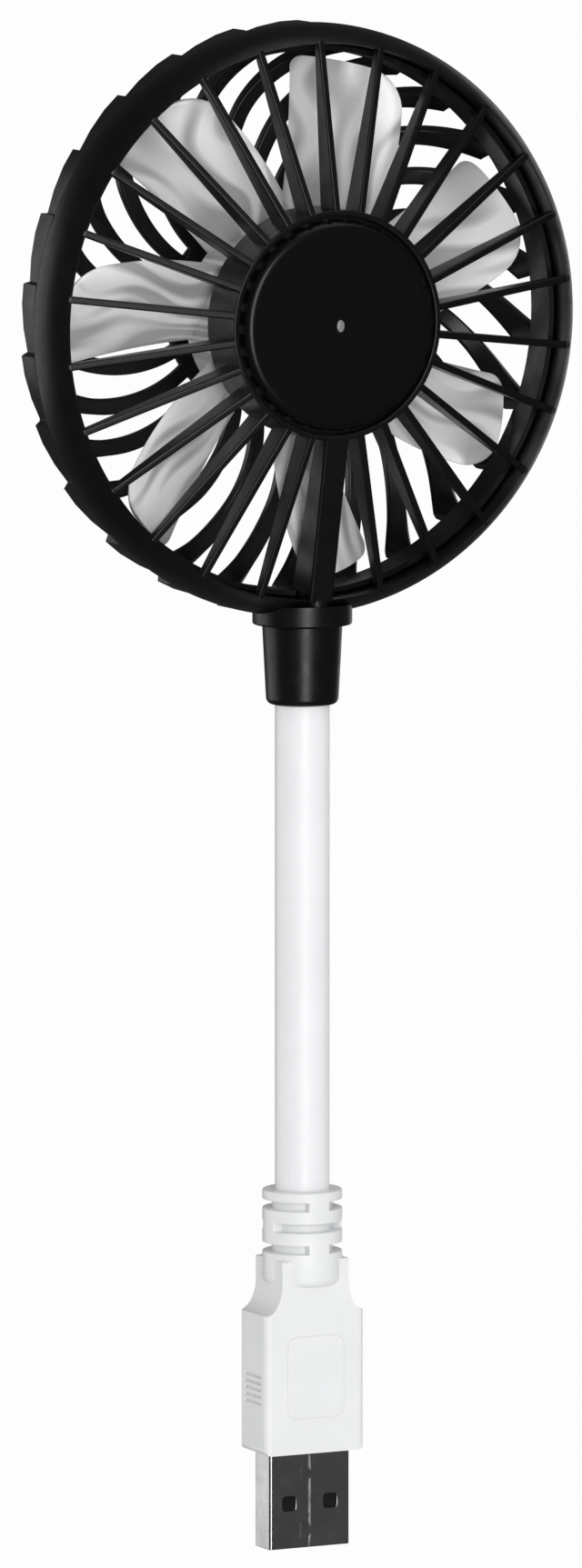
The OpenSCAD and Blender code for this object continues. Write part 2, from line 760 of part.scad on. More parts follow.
// The rear guard's outside is a shallow dome with a round shoulder; f is the
// depth below the outside that the outline is drawn at.
dome_r = ring_out - shoulder_r;
dome_z = shoulder_back - shoulder_r;
dome_n = 6;
function dome_rise(r) = (rear_hub_back - shoulder_back)
  *pow((dome_r - r)/(dome_r - rear_hub_d/2), 1.46);
function dome_line(f) = concat(
  [[0, f - rear_hub_back]],
  [for (i = [0:dome_n - 1]) let (r = rear_hub_d/2 + (dome_r - rear_hub_d/2)*i/dome_n)
    [r, f - shoulder_back - dome_rise(r)]],
  [for (a = [0:10:90]) [dome_r + (shoulder_r - f)*sin(a), -dome_z - (shoulder_r - f)*cos(a)]]);

module dome_shell() {
  outer = dome_line(0);
  inner = dome_line(swirl_depth);
  rotate_extrude($fn = 128)
    polygon(concat(outer, [for (i = [len(inner) - 1:-1:0]) inner[i]]));
}

module swirl_rib() {
  difference() {
    circle(swirl_arc + swirl_w/2, $fn = 96);
    translate([-swirl_flare, 0]) circle(swirl_arc - swirl_w/2, $fn = 96);
  }
}

// One pad: [share of its pitch, share of its height], rising clockwise.
pad_steps = [[0.02, 0.1], [0.35, 0.55], [0.7, 0.9], [0.98, 1]];
pad_phase = 0.15;

module rear_guard() {
  color("#1c1c1c") at_head() union() {
    intersection() {
      dome_shell();
      translate([0, 0, -rear_hub_back - 1]) linear_extrude(rear_hub_back + 1)
        for (k = [0:spoke_n - 1]) clock(k*pitch_a + swirl_phase) intersection() {
          translate([swirl_start, -swirl_arc]) swirl_rib();
          translate([rear_hub_d/2 - 1, -swirl_arc]) square([2*swirl_arc, 2*swirl_arc]);
        }
    }
    intersection() {
      dome_shell();
      disc(rear_hub_d/2, -rear_hub_back - 1, 0);
    }
    // straight wall with its saw-tooth pads
    difference() {
      translate([0, 0, -ring_depth]) linear_extrude(ring_depth - split_back)
        polygon([for (k = [0:spoke_n - 1], j = [0:3]) let (
            a = 90 - (k + pad_phase + pad_steps[j][0])*pitch_a,
            r = ring_out + pad_h*pad_steps[j][1])
          [r*cos(a), r*sin(a)]]);
      disc(ring_in, -cage_d, cage_d);
    }
    ring(ring_in + eps, lip_out - lip_wall, -ring_depth + 1, -split_back - clip_gap);
    // lip that clips inside the front rim, notched for the lead column
    difference() {
      ring(lip_out, lip_out - lip_wall, -ring_depth + 1, lip_len - split_back);
      clock(column_k*pitch_a) translate([0, -column_w/2 - 2*clip_gap, -split_back - clip_gap])
        cube([cage_r, column_w + 4*clip_gap, lip_len + 1]);
    }
  }
}

// ---- motor ----

module bearing_tube() {
  color("goldenrod") at_head() ring(tube_out, sleeve_d/2 + fit_gap, tube_back, tube_front);
}

module sleeve_bearing() {
  color("darkgoldenrod") at_head() ring(sleeve_d/2, shaft_r + shaft_play, sleeve_back, sleeve_front);
}

module thrust_pad() {
  color("ivory") at_head() disc(sleeve_d/2, shaft_front + 0.1, tube_front);
}

module motor_board() {
  color("green") at_head() difference() {
    ring(board_d/2, tube_out + 1.2, board_back, board_front);
    clock(column_k*pitch_a + 90) translate([board_d/2, 0, board_back - 1])
      cylinder(r = 1, h = board_t + 2, $fn = 32);
  }
}

module board_parts() {
  color("#303030") at_head() for (p = [[60, 7.2, 2.9, 1.6], [150, 7.6, 1.6, 0.9], [-30, 7.6, 1.2, 0.7]])
    clock(p[0]) translate([p[1], 0, board_back - 0.45]) cube([p[3], p[2], 0.9], center = true);
}

// Plan of the stator: a hub ring, four teeth of width w, and their pole shoes.
shoe_half = 38;                    // half the angle that one pole shoe covers
module tooth_set(w, t_shoe, back, front, r_out) {
  far = 2*stator_d;
  translate([0, 0, back]) linear_extrude(front - back) difference() {
    union() {
      circle(tube_out + 2.0);
      for (k = [0:3]) rotate(45 + 90*k)
        translate([tube_out, -w/2]) square([r_out - tube_out - t_shoe/2, w]);
      difference() {
        circle(r_out);
        circle(r_out - t_shoe);
        for (k = [0:3]) rotate(90*k)
          polygon([[0, 0], [far, -far*tan(45 - shoe_half)], [far, far*tan(45 - shoe_half)]]);
      }
    }
    circle(tube_out + fit_gap);
  }
}

module stator_core() {
  color("slategray") at_head() tooth_set(tooth_w, shoe_t, core_back, core_front, stator_d/2);
}

module stator_insulators() {
  color("white") at_head() {
    tooth_set(tooth_w + 0.6, shoe_t - 0.3, core_front, core_front + insul_t, stator_d/2 - 0.3);
    tooth_set(tooth_w + 0.6, shoe_t - 0.3, core_back - insul_t, core_back, stator_d/2 - 0.3);
  }
}

module stator_coils() {
  r0 = tube_out + 2.1;
  w = tooth_w + 0.6 + 2*fit_gap;
  r1 = sqrt(pow(stator_d/2 - shoe_t, 2) - pow(w/2 + coil_t, 2)) - fit_gap;
  b = core_back - insul_t - fit_gap;
  f = core_front + insul_t + fit_gap;
  color("peru") at_head() for (k = [0:3]) rotate([0, 0, 45 + 90*k]) difference() {
    translate([r0, -w/2 - coil_t, b - coil_t + fit_gap])
      cube([r1 - r0, w + 2*coil_t, f - b + 2*coil_t - 2*fit_gap]);
    translate([r0 - 1, -w/2, b]) cube([r1 - r0 + 2, w, f - b]);
  }
}

module rotor_yoke() {
  color("gray") at_head() difference() {
    union() {
      ring(yoke_out, yoke_in, yoke_web_front - eps, magnet_back + magnet_h + 0.2);
      disc(yoke_out, yoke_web_back, yoke_web_front);
    }
    disc(bush_d/2 + fit_gap, yoke_web_back - 1, yoke_web_front + 1);
  }
}

module rotor_magnet() {
  color("#3a3632") at_head() ring(magnet_out, magnet_in, magnet_back, magnet_back + magnet_h);
}

module rotor_bush() {
  color("goldenrod") at_head() difference() {
    union() {
      disc(bush_d/2, bush_back, yoke_web_front);
      disc(bush_d/2 + 0.8, yoke_web_front, yoke_web_front + 0.35);
    }
    disc(shaft_r + fit_gap/2, bush_back + 0.8, cage_d);
  }
}

module rotor_shaft() {
  color("lightgray") at_head() difference() {
    disc(shaft_r, bush_back + 0.8, shaft_front);
    ring(shaft_r + 1, shaft_r - 0.2, sleeve_front + 0.3, sleeve_front + 0.7);
  }
}

module shaft_clip() {
  color("white") at_head() ring(sleeve_d/2 - 0.3, shaft_r - 0.2 + fit_gap/2,
                                sleeve_front + 0.33, sleeve_front + 0.67);
}

// ---- impeller ----

// Blade sections: s runs from root to tip, p runs round one section's outline.
blade_rows = 11;
blade_cols = 8;
tip_r = lip_out - lip_wall - tip_gap;
blade_foot = imp_hub_r - imp_wall/2;
// half width seen from the front, with round corners at the tip
function corner_cut(r, c) = let (d = c - (tip_r - r)) d <= 0 ? 0 : c - sqrt(max(0, c*c - d*d));
function blade_half(r) = (blade_root_w + (blade_tip_w - blade_root_w)
  *sin(90*min(1, (r - blade_foot)/(0.85*(tip_r - blade_foot)))))/2;
blade_mid = (blade_front - blade_back)/2;
blade_axial = (blade_front + blade_back - blade_t)/2;
// point of the blade at radius r, u from -1 (leading, rear) to 1 (trailing, front), on side q
function blade_point(r, u, q) = let (
    full = blade_half(r),
    half = full - corner_cut(r, u > 0 ? blade_corner : blade_corner_rear),
    v = u*half/full,
    rise = blade_mid + v*blade_axial + blade_camber*(1 - v*v)*0.6 - blade_camber*0.3,
    thick = q*blade_t/2*sqrt(max(0.02, 1 - pow(u, 6))),
    a = atan2(v*full, r) - blade_sweep*(r - blade_foot)/(tip_r - blade_foot))
  [r*sin(a) - thick*0.55*cos(a), r*cos(a) + thick*0.55*sin(a), rise + thick*0.8];
function section(r) = concat(
  [for (i = [0:blade_cols]) blade_point(r, -1 + 2*i/blade_cols, 1)],
  [for (i = [blade_cols:-1:0]) blade_point(r, -1 + 2*i/blade_cols, -1)]);

module blade() {
  n = 2*(blade_cols + 1);
  radii = concat([for (i = [0:blade_rows - 5]) blade_foot + (tip_r - blade_corner - blade_foot)*i/(blade_rows - 5)],
                 [for (a = [20, 40, 60, 80]) tip_r - blade_corner + blade_corner*sin(a)]);
  rows = len(radii);
  pts = [for (r = radii) each section(r)];
  top = (rows - 1)*n;
  polyhedron(pts, concat(
    [for (j = [0:blade_cols - 1]) each [[j, j + 1, n - 2 - j], [j, n - 2 - j, n - 1 - j]]],
    [for (j = [0:blade_cols - 1]) each
      [[top + n - 1 - j, top + n - 2 - j, top + j + 1], [top + n - 1 - j, top + j + 1, top + j]]],
    [for (i = [0:rows - 2], j = [0:n - 1]) each [
      [i*n + j, (i + 1)*n + (j + 1) % n, i*n + (j + 1) % n],
      [i*n + j, (i + 1)*n + j, (i + 1)*n + (j + 1) % n]]]));
}

module impeller() {
  color("white") at_head() union() {
    difference() {
      disc(imp_hub_r, -imp_back, imp_front);
      disc(yoke_out + fit_gap, web_front, imp_front + 1);
      difference() {
        disc(imp_hub_r - imp_wall, -imp_back - 1, web_back);
        disc(bush_d/2 + imp_wall, bush_back, web_front);
      }
      disc(bush_d/2 + fit_gap, -cage_d, cage_d);
    }
    for (k = [0:blade_n - 1]) rotate([0, 0, -(blade_phase + k*360/blade_n)]) blade();
  }
}

// ---- leads in the head ----

// Route of one motor lead: up the stem and the neck, up the column, into the hub cup.
function head_pt(x, r, fwd) = [x, -fwd, head_z - r];
module motor_lead(s, r) {
  a = [s*lead_x, 0, joint_z(links) - 1];
  b = [s*lead_x, 0, z_socket + partition_t + 0.4];
  c = head_pt(s*lead_run_x, cage_r - 0.6, -split_back + groove_back/2);
  d = head_pt(s*lead_run_x, column_in + 0.3, -split_back + groove_back/2);
  e = head_pt(s*lead_run_x, cup_r + 0.4, lead_plane);
  f = head_pt(s*lead_run_x, board_d/2 - 0.3, lead_plane);
  g = head_pt(s*lead_run_x, board_d/2 - 0.3, board_front + r);
  wire([a, b, c, d, e, f, g], r, [1, 0, 0]);
}

module motor_leads() {
  color("firebrick") intersection() {
    union() for (s = [-1, 1]) motor_lead(s, lead_r);
    link_space(links);
  }
}

usb_shell();
contact_carrier();
contacts();
inner_mould();
plug_grip();
plug_leads();
stem_jacket_base();
stem_core_base();
stem_jacket_1();
stem_jacket_2();
stem_jacket_3();
stem_jacket_4();
stem_jacket_5();
stem_jacket_6();
stem_jacket_7();
stem_core_1();
stem_core_2();
stem_core_3();
stem_core_4();
stem_core_5();
stem_core_6();
stem_core_7();
stem_leads_1();
stem_leads_2();
stem_leads_3();
stem_leads_4();
stem_leads_5();
stem_leads_6();
stem_leads_7();
stem_jacket_top();
stem_core_top();
motor_leads();
neck_sleeve();
front_guard();
hub_cap();
rear_guard();
bearing_tube();
sleeve_bearing();
thrust_pad();
motor_board();
board_parts();
stator_core();
stator_insulators();
stator_coils();
rotor_yoke();
rotor_magnet();
rotor_bush();
rotor_shaft();
shaft_clip();
impeller();
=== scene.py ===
"""Looks of a gooseneck desk fan on a USB plug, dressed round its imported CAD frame.

Each sub-assembly of the fan is a class below. It holds its sizes in millimetres as
dataclass fields, takes its places from the frame, models its pieces with bmesh
operators and hands each piece to the body that carries it.
"""
import json
import logging
import math
from dataclasses import dataclass
from enum import Enum
from typing import Callable, Iterable, Optional, Sequence

import bmesh
import bpy
from mathutils import Matrix, Vector


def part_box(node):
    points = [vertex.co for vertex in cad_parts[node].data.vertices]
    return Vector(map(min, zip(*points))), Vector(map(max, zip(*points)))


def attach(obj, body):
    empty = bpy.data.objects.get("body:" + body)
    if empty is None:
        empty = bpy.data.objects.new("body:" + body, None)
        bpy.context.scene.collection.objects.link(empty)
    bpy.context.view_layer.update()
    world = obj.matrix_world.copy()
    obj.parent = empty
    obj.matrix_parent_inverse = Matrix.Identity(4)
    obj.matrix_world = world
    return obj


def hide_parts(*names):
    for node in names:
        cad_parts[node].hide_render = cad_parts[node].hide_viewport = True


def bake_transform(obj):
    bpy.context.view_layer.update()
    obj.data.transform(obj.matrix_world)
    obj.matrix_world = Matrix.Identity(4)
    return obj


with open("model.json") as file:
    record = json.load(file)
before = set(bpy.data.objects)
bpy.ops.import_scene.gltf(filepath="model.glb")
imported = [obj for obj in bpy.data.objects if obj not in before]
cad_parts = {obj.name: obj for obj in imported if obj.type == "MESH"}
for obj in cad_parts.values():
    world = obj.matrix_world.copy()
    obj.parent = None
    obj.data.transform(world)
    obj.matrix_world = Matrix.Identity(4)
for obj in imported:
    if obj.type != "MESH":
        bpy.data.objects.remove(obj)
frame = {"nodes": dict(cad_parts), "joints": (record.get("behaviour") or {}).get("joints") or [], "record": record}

LOG = logging.getLogger("desk_fan")
MM = 0.001
# Edges sharper than this stay sharp in the shading, in degrees.
SHARP = 32
# A cutting tool reaches this far past what it cuts, or right through the head, in millimetres.
PAST = 1.0
THROUGH = (-20.0, 20.0)
# Facets round the cage's rim: eight for each spoke.
RIM_STEPS = 208
# The rear guard's pads take the room within this radius, from this far behind the head's middle.
PAD_ROOM = 39.6
PAD_START = 0.1
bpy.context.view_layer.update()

Point2 = tuple[float, float]
Point3 = tuple[float, float, float]
Outline = tuple[Point2, ...]
Solid = bmesh.types.BMesh
Edge = bmesh.types.BMEdge
EdgeTest = Callable[[Edge], bool]
Tree = bpy.types.NodeTree
Socket = bpy.types.NodeSocket


# ---------------------------------------------------------------- frame


def joint_place(name: str) -> Vector:
    """Finds where a joint turns.

    Args:
        name: The joint's name in the record.

    Returns:
        The joint's point at rest, in metres.
    """
    found = next(j for j in frame["joints"] if j["name"] == name)
    return Vector(found["pos_m"])


def node_box(name: str) -> tuple[Vector, Vector]:
    """Gives a CAD node's corners in millimetres.

    Args:
        name: The node's name.

    Returns:
        Its lowest and its highest corner.
    """
    low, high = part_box(name)
    return low / MM, high / MM


HEAD_CENTRE = joint_place("impeller_spin")
HEAD_HEIGHT = HEAD_CENTRE.z / MM
# Turns what is drawn along z to face the front, and what stands upright to lie along y.
STAND_UP = Matrix.Rotation(math.radians(90), 4, "X")
LIE_DOWN = Matrix.Rotation(math.radians(-90), 4, "X")
# Each piece is drawn in millimetres, either upright like the whole fan, or in the
# head's own axes: x right, y up and z forward from the middle of the impeller.
UPRIGHT = Matrix.Scale(MM, 4)
HEAD = Matrix.Translation(HEAD_CENTRE) @ STAND_UP @ Matrix.Scale(MM, 4)
# Takes what is drawn upright into the head's axes.
INTO_HEAD = Matrix.Translation((0, -HEAD_HEIGHT, 0)) @ LIE_DOWN


def clock(angle: float) -> Matrix:
    """Turns a part that is drawn along +x to a clock angle on the head.

    Args:
        angle: Degrees clockwise from the top, seen from the front.

    Returns:
        The turn about the head's axis.
    """
    return Matrix.Rotation(math.radians(90 - angle), 4, "Z")


# ---------------------------------------------------------------- shapes


class Cut(Enum):
    """What a solid does to another."""

    JOIN = "UNION"
    CARVE = "DIFFERENCE"
    KEEP_COMMON = "INTERSECT"


def lathe(outline: Sequence[Point2], steps: int = 96) -> Solid:
    """Turns an outline about the z axis.

    Args:
        outline: Points as (radius, height). It closes on itself unless both ends
            lie on the axis.
        steps: Facets in the full turn.

    Returns:
        A closed solid.
    """
    bm = bmesh.new()
    verts = [bm.verts.new((r, 0.0, z)) for r, z in outline]
    pairs = list(zip(verts, verts[1:]))
    if outline[0][0] > 0 or outline[-1][0] > 0:
        pairs.append((verts[-1], verts[0]))
    edges = [bm.edges.new(pair) for pair in pairs]
    bmesh.ops.spin(bm, geom=verts + edges, cent=(0, 0, 0), axis=(0, 0, 1), dvec=(0, 0, 0),
                   angle=math.tau, steps=steps, use_merge=True, use_duplicate=False)
    bmesh.ops.remove_doubles(bm, verts=bm.verts, dist=1e-5)
    bmesh.ops.dissolve_degenerate(bm, edges=bm.edges, dist=1e-5)
    bmesh.ops.recalc_face_normals(bm, faces=bm.faces)
    return bm


def prism(outline: Sequence[Point2], low: float, high: float) -> Solid:
    """Raises a flat outline along z.

    Args:
        outline: Corners as (x, y).
        low: Height of the lower face.
        high: Height of the upper face.

    Returns:
        A closed solid.
    """
    bm = bmesh.new()
    floor = bm.faces.new([bm.verts.new((x, y, low)) for x, y in outline])
    raised = bmesh.ops.extrude_face_region(bm, geom=[floor], use_keep_orig=True)["geom"]
    tops = [item for item in raised if isinstance(item, bmesh.types.BMVert)]
    bmesh.ops.translate(bm, verts=tops, vec=(0, 0, high - low))
    bmesh.ops.recalc_face_normals(bm, faces=bm.faces)
    return bm


def block(low: Point3, high: Point3) -> Solid:
    """Makes a box between two corners.

    Args:
        low: Its lowest corner.
        high: Its highest corner.

    Returns:
        A closed solid.
    """
    bm = bmesh.new()
    size = [h - l for l, h in zip(low, high)]
    middle = [(h + l) / 2 for l, h in zip(low, high)]
    bmesh.ops.create_cube(bm, size=1, matrix=Matrix.Translation(middle) @ Matrix.Diagonal((*size, 1)))
    return bm


def rod(radius: float, low: float, high: float, steps: int = 48) -> Solid:
    """Makes an upright cylinder between two heights.

    Args:
        radius: Its radius.
        low: Height of its lower end.
        high: Height of its upper end.
        steps: Facets round it.

    Returns:
        A closed solid.
    """
    bm = bmesh.new()
    bmesh.ops.create_cone(bm, cap_ends=True, cap_tris=False, segments=steps, radius1=radius,
                          radius2=radius, depth=high - low,
                          matrix=Matrix.Translation((0, 0, (low + high) / 2)))
    return bm


def where(test: Callable[[Vector], bool]) -> EdgeTest:
    """Makes a test of places into a test of edges, which both ends have to pass."""
    return lambda edge: all(test(vert.co) for vert in edge.verts)


def climb(edge: Edge) -> float:
    """Gives how far an edge climbs along z."""
    return abs(edge.verts[0].co.z - edge.verts[1].co.z)


def is_level(edge: Edge) -> bool:
    """Tells whether an edge lies flat."""
    return climb(edge) < 1e-4


def soften(bm: Solid, width: float, which: Optional[EdgeTest] = None, segments: int = 3,
           angle: float = 60.0) -> Solid:
    """Rounds the sharp edges of a solid.

    Args:
        bm: The solid, changed in place.
        width: Width of the rounding.
        which: Picks among the sharp edges.
        segments: Facets across the rounding.
        angle: Edges that turn by more degrees than this count as sharp.

    Returns:
        The same solid.
    """
    limit = math.radians(angle)
    edges = [e for e in bm.edges
             if len(e.link_faces) == 2 and e.calc_face_angle(0.0) > limit and (which is None or which(e))]
    bmesh.ops.bevel(bm, geom=edges, offset=width, offset_type="OFFSET", segments=segments,
                    profile=0.5, affect="EDGES", clamp_overlap=True, material=-1)
    return bm


def moved(bm: Solid, matrix: Matrix) -> Solid:
    """Moves a solid to another place, and gives it back."""
    bmesh.ops.transform(bm, matrix=matrix, verts=bm.verts)
    return bm


def copies(bm: Solid, places: Iterable[Matrix]) -> list[Solid]:
    """Lays copies of a solid at several places.

    Args:
        bm: The solid. It is used up.
        places: Where each copy goes.

    Returns:
        The copies.
    """
    laid = [moved(bm.copy(), place) for place in places]
    bm.free()
    return laid


def combined(first: Solid, others: Iterable[Solid], how: Cut) -> Solid:
    """Joins solids to one, or carves them out of it.

    Args:
        first: The solid that the others act on. It is used up.
        others: The other solids, used up too.
        how: What the others do.

    Returns:
        The result as one closed solid.
    """
    group = bpy.data.collections.new("tools")
    made = []
    for number, bm in enumerate([first, *others]):
        mesh = bpy.data.meshes.new(f"tool_{number}")
        bm.to_mesh(mesh)
        bm.free()
        made.append(bpy.data.objects.new(f"tool_{number}", mesh))
    for tool in made[1:]:
        group.objects.link(tool)
    bpy.context.scene.collection.objects.link(made[0])
    modifier = made[0].modifiers.new("combine", "BOOLEAN")
    modifier.operation = how.value
    modifier.solver = "MANIFOLD"
    modifier.operand_type = "COLLECTION"
    modifier.collection = group
    graph = bpy.context.evaluated_depsgraph_get()
    result = bmesh.new()
    result.from_mesh(made[0].evaluated_get(graph).to_mesh())
    for tool in made:
        mesh = tool.data
        bpy.data.objects.remove(tool)
        bpy.data.meshes.remove(mesh)
    bpy.data.collections.remove(group)
    return result


def arc(centre: Point2, radius: float, start: float, end: float, steps: int) -> list[Point2]:
    """Gives points along an arc.

    Args:
        centre: The arc's centre.
        radius: The arc's radius.
        start: Angle of the first point, in degrees.
        end: Angle of the last point, in degrees.
        steps: Number of stretches between the points.

    Returns:
        The points, both ends included.
    """
    angles = [math.radians(start + (end - start) * i / steps) for i in range(steps + 1)]
    return [(centre[0] + radius * math.cos(a), centre[1] + radius * math.sin(a)) for a in angles]


def rounded_box(width: float, depth: float, radius: float, steps: int = 6) -> list[Point2]:
    """Gives a rounded rectangle round the origin, counter-clockwise.

    Args:
        width: Its size along x.
        depth: Its size along y.
        radius: Radius of its corners.
        steps: Stretches of each corner.

    Returns:
        Its points as (x, y).
    """
    x, y = width / 2 - radius, depth / 2 - radius
    corners = [((x, y), 0), ((-x, y), 90), ((-x, -y), 180), ((x, -y), 270)]
    return [p for centre, turn in corners for p in arc(centre, radius, turn, turn + 90, steps)]


def rail(section: Sequence[Point2], rings: int) -> Solid:
    """Draws a section out along z from 0 to 1, cut into equal rings.

    Args:
        section: The section's corners as (x, y).
        rings: Number of stretches along the rail.

    Returns:
        A closed solid, ready to be bent to a path.
    """
    bm = prism(section, 0.0, 1.0)
    along = [edge for edge in bm.edges if climb(edge) > 0.5]
    bmesh.ops.subdivide_edges(bm, edges=along, cuts=rings - 1, use_grid_fill=True)
    return bm


def bent(bm: Solid, place: Callable[[float, float, float], Point3]) -> Solid:
    """Moves every point of a rail to its place on a path.

    Args:
        bm: The rail, changed in place.
        place: Gives a point's place from its section coordinates and its share of the way.

    Returns:
        The same solid, with its faces turned outwards.
    """
    for vert in bm.verts:
        vert.co = place(*vert.co)
    bmesh.ops.recalc_face_normals(bm, faces=bm.faces)
    return bm


# ---------------------------------------------------------------- finishes


def hex_colour(code: str) -> tuple[float, float, float, float]:
    """Turns an sRGB hex colour to the linear colour that a shader takes.

    Args:
        code: The colour as "#rrggbb".

    Returns:
        Red, green, blue and an alpha of 1.
    """
    values = [int(code[i:i + 2], 16) / 255 for i in (1, 3, 5)]
    linear = [v / 12.92 if v <= 0.04045 else ((v + 0.055) / 1.055) ** 2.4 for v in values]
    return (*linear, 1.0)


def cleared(owner: bpy.types.Material | bpy.types.World) -> Tree:
    """Gives the node tree of a new material or world, emptied.

    Args:
        owner: The material or the world.

    Returns:
        Its tree, without a node.
    """
    owner.use_nodes = True
    owner.node_tree.nodes.clear()
    return owner.node_tree


def add_node(tree: Tree, kind: str, settings: Optional[dict] = None,
             values: Sequence[object] = (), stops: Sequence[tuple[float, str]] = (),
             **inputs: object) -> bpy.types.Node:
    """Adds a shader node.

    Args:
        tree: The tree it goes into.
        kind: Blender's name for the node's type.
        settings: Properties of the node, by name.
        values: What the first inputs hold, in their order. An output of another
            node is linked to its input.
        stops: A colour ramp's places with their hex colours.
        inputs: What other inputs hold, by the input's name with _ for a space.

    Returns:
        The new node.
    """
    node = tree.nodes.new(kind)
    for name, value in (settings or {}).items():
        setattr(node, name, value)
    held = dict(enumerate(values)) | {name.replace("_", " "): value for name, value in inputs.items()}
    for key, value in held.items():
        socket = node.inputs[key]
        if isinstance(value, Socket):
            tree.links.new(value, socket)
        else:
            socket.default_value = value
    for (place, code), element in zip(stops, node.color_ramp.elements if stops else ()):
        element.position, element.color = place, hex_colour(code)
    return node


@dataclass(frozen=True)
class Finish:
    """A surface as its maker would name it: a base material and how it was formed.

    The two hex colours are the ends of a faint mottle. The grain is the tool's or
    the mould's texture, whose size is the real one in millimetres.
    """

    name: str
    slot: str
    colour: str
    shade: str
    roughness: float
    metallic: float = 0.0
    ior: float = 1.5
    mottle_mm: float = 6.0
    grain_mm: float = 0.25
    grain_depth_mm: float = 0.004
    polish_spread: float = 0.06

    def build(self) -> bpy.types.Material:
        """Builds the material.

        Returns:
            The material, ready for a slot.
        """
        material = bpy.data.materials.new(self.name)
        material.diffuse_color = hex_colour(self.colour)
        tree = cleared(material)
        place = add_node(tree, "ShaderNodeTexCoord").outputs["Object"]
        relief = add_node(tree, "ShaderNodeBump", Strength=1.0, Distance=self.grain_depth_mm * MM,
                          Height=self.grain(tree, place))
        wear = add_node(tree, "ShaderNodeTexNoise", Vector=place, Scale=1 / (self.mottle_mm * 0.4 * MM),
                        Detail=4.0, Roughness=0.6)
        polish = add_node(tree, "ShaderNodeMapRange", Value=wear.outputs["Fac"], From_Min=0.3, From_Max=0.7,
                          To_Min=max(0.02, self.roughness - self.polish_spread),
                          To_Max=self.roughness + self.polish_spread)
        shader = add_node(tree, "ShaderNodeBsdfPrincipled", Base_Color=self.pattern(tree, place),
                          Roughness=polish.outputs["Result"], Metallic=self.metallic,
                          IOR=1.5 if self.metallic else self.ior, Normal=relief.outputs["Normal"])
        add_node(tree, "ShaderNodeOutputMaterial", Surface=shader.outputs["BSDF"])
        return material

    def pattern(self, tree: Tree, place: Socket) -> Socket:
        """Draws the faint mottle between the two colours.

        Args:
            tree: The material's tree.
            place: The object's own coordinates, in metres.

        Returns:
            The colour.
        """
        mottle = add_node(tree, "ShaderNodeTexNoise", Vector=place, Scale=1 / (self.mottle_mm * MM),
                          Detail=3.0, Roughness=0.55)
        mixed = add_node(tree, "ShaderNodeValToRGB", stops=[(0.3, self.shade), (0.7, self.colour)],
                         Fac=mottle.outputs["Fac"])
        return mixed.outputs["Color"]

    def grain(self, tree: Tree, place: Socket) -> Socket:
        """Gives the height of the grain that the mould or tool left."""
        return add_node(tree, "ShaderNodeTexNoise", Vector=place, Scale=1 / (self.grain_mm * MM),
                        Detail=2.0, Roughness=0.6).outputs["Fac"]


@dataclass(frozen=True)
class DrawnFinish(Finish):
    """A metal with fine lines along one direction, as drawing or brushing leaves."""

    line_mm: float = 0.08
    line_scale: Point3 = (1.0, 1.0, 0.03)

    def grain(self, tree: Tree, place: Socket) -> Socket:
        """Gives the height of the drawing lines.

        Args:
            tree: The material's tree.
            place: The object's own coordinates, in metres.

        Returns:
            The height.
        """
        along = add_node(tree, "ShaderNodeMapping", Vector=place, Scale=self.line_scale)
        return add_node(tree, "ShaderNodeTexNoise", Vector=along.outputs["Vector"],
                        Scale=1 / (self.line_mm * MM), Detail=2.0, Roughness=0.5).outputs["Fac"]


@dataclass(frozen=True)
class BladeFinish(Finish):
    """Pearly white moulding with soft streaks along each blade, drawn in its colour as painted reflection bands
    and raised a little in its relief.

    The streaks lie on the flow map, in centimetres round and along the blades. They
    are as wide as the real ones, and stretch times as long.
    """

    streak_mm: float = 2.2
    stretch: float = 6.25
    sway_cm: float = 0.9
    # The last three fields set the painted root shade: where it starts, where it ends, and how deep it is.
    hub_cm: float = 1.3
    white_cm: float = 3.1
    painted_root_shade: float = 0.1

    def pattern(self, tree: Tree, place: Socket) -> Socket:
        """Draws the streaks as painted reflection bands, with painted shade darkening the blade towards the hub.

        Args:
            tree: The material's tree.
            place: The object's own coordinates, in metres.

        Returns:
            The colour.
        """
        reach = add_node(tree, "ShaderNodeSeparateXYZ", Vector=self.flow(tree)).outputs["Y"]
        # Painted shade: the colour darkens towards the hub, where the cage shades the blade roots.
        root_shade = add_node(tree, "ShaderNodeMapRange", {"interpolation_type": "SMOOTHSTEP"}, Value=reach,
                            From_Min=self.hub_cm, From_Max=self.white_cm, To_Min=-self.painted_root_shade, To_Max=0.0)
        drawn = add_node(tree, "ShaderNodeMath", {"operation": "ADD"},
                         (self.grain(tree, place), root_shade.outputs["Result"]))
        # Painted reflection: the streaks' height becomes light and dark satin bands in the colour, and the painted
        # root shade darkens it further.
        mixed = add_node(tree, "ShaderNodeValToRGB", stops=[(0.34, self.shade), (0.56, self.colour)],
                         Fac=drawn.outputs["Value"])
        return mixed.outputs["Color"]

    def flow(self, tree: Tree) -> Socket:
        """Gives the flow map laid along the blades."""
        return add_node(tree, "ShaderNodeUVMap", {"uv_map": "flow"}).outputs["UV"]

    def grain(self, tree: Tree, place: Socket) -> Socket:
        """Gives the height of the streaks, which stand up a little as sink marks do; the colour follows the same
        height as painted reflection bands.

        Args:
            tree: The material's tree.
            place: Left alone, since the streaks lie on the flow map.

        Returns:
            The height.
        """
        sway = add_node(tree, "ShaderNodeTexNoise", Vector=self.flow(tree), Scale=0.9, Detail=0.0)
        swayed = add_node(tree, "ShaderNodeVectorMath", {"operation": "MULTIPLY_ADD"},
                          (sway.outputs["Color"], (self.sway_cm, 0.0, 0.0), self.flow(tree)))
        drawn = add_node(tree, "ShaderNodeMapping", Vector=swayed.outputs["Vector"],
                         Scale=(10 / self.streak_mm, 10 / (self.streak_mm * self.stretch), 1.0))
        return add_node(tree, "ShaderNodeTexNoise", Vector=drawn.outputs["Vector"], Scale=1.0,
                        Detail=0.0).outputs["Fac"]


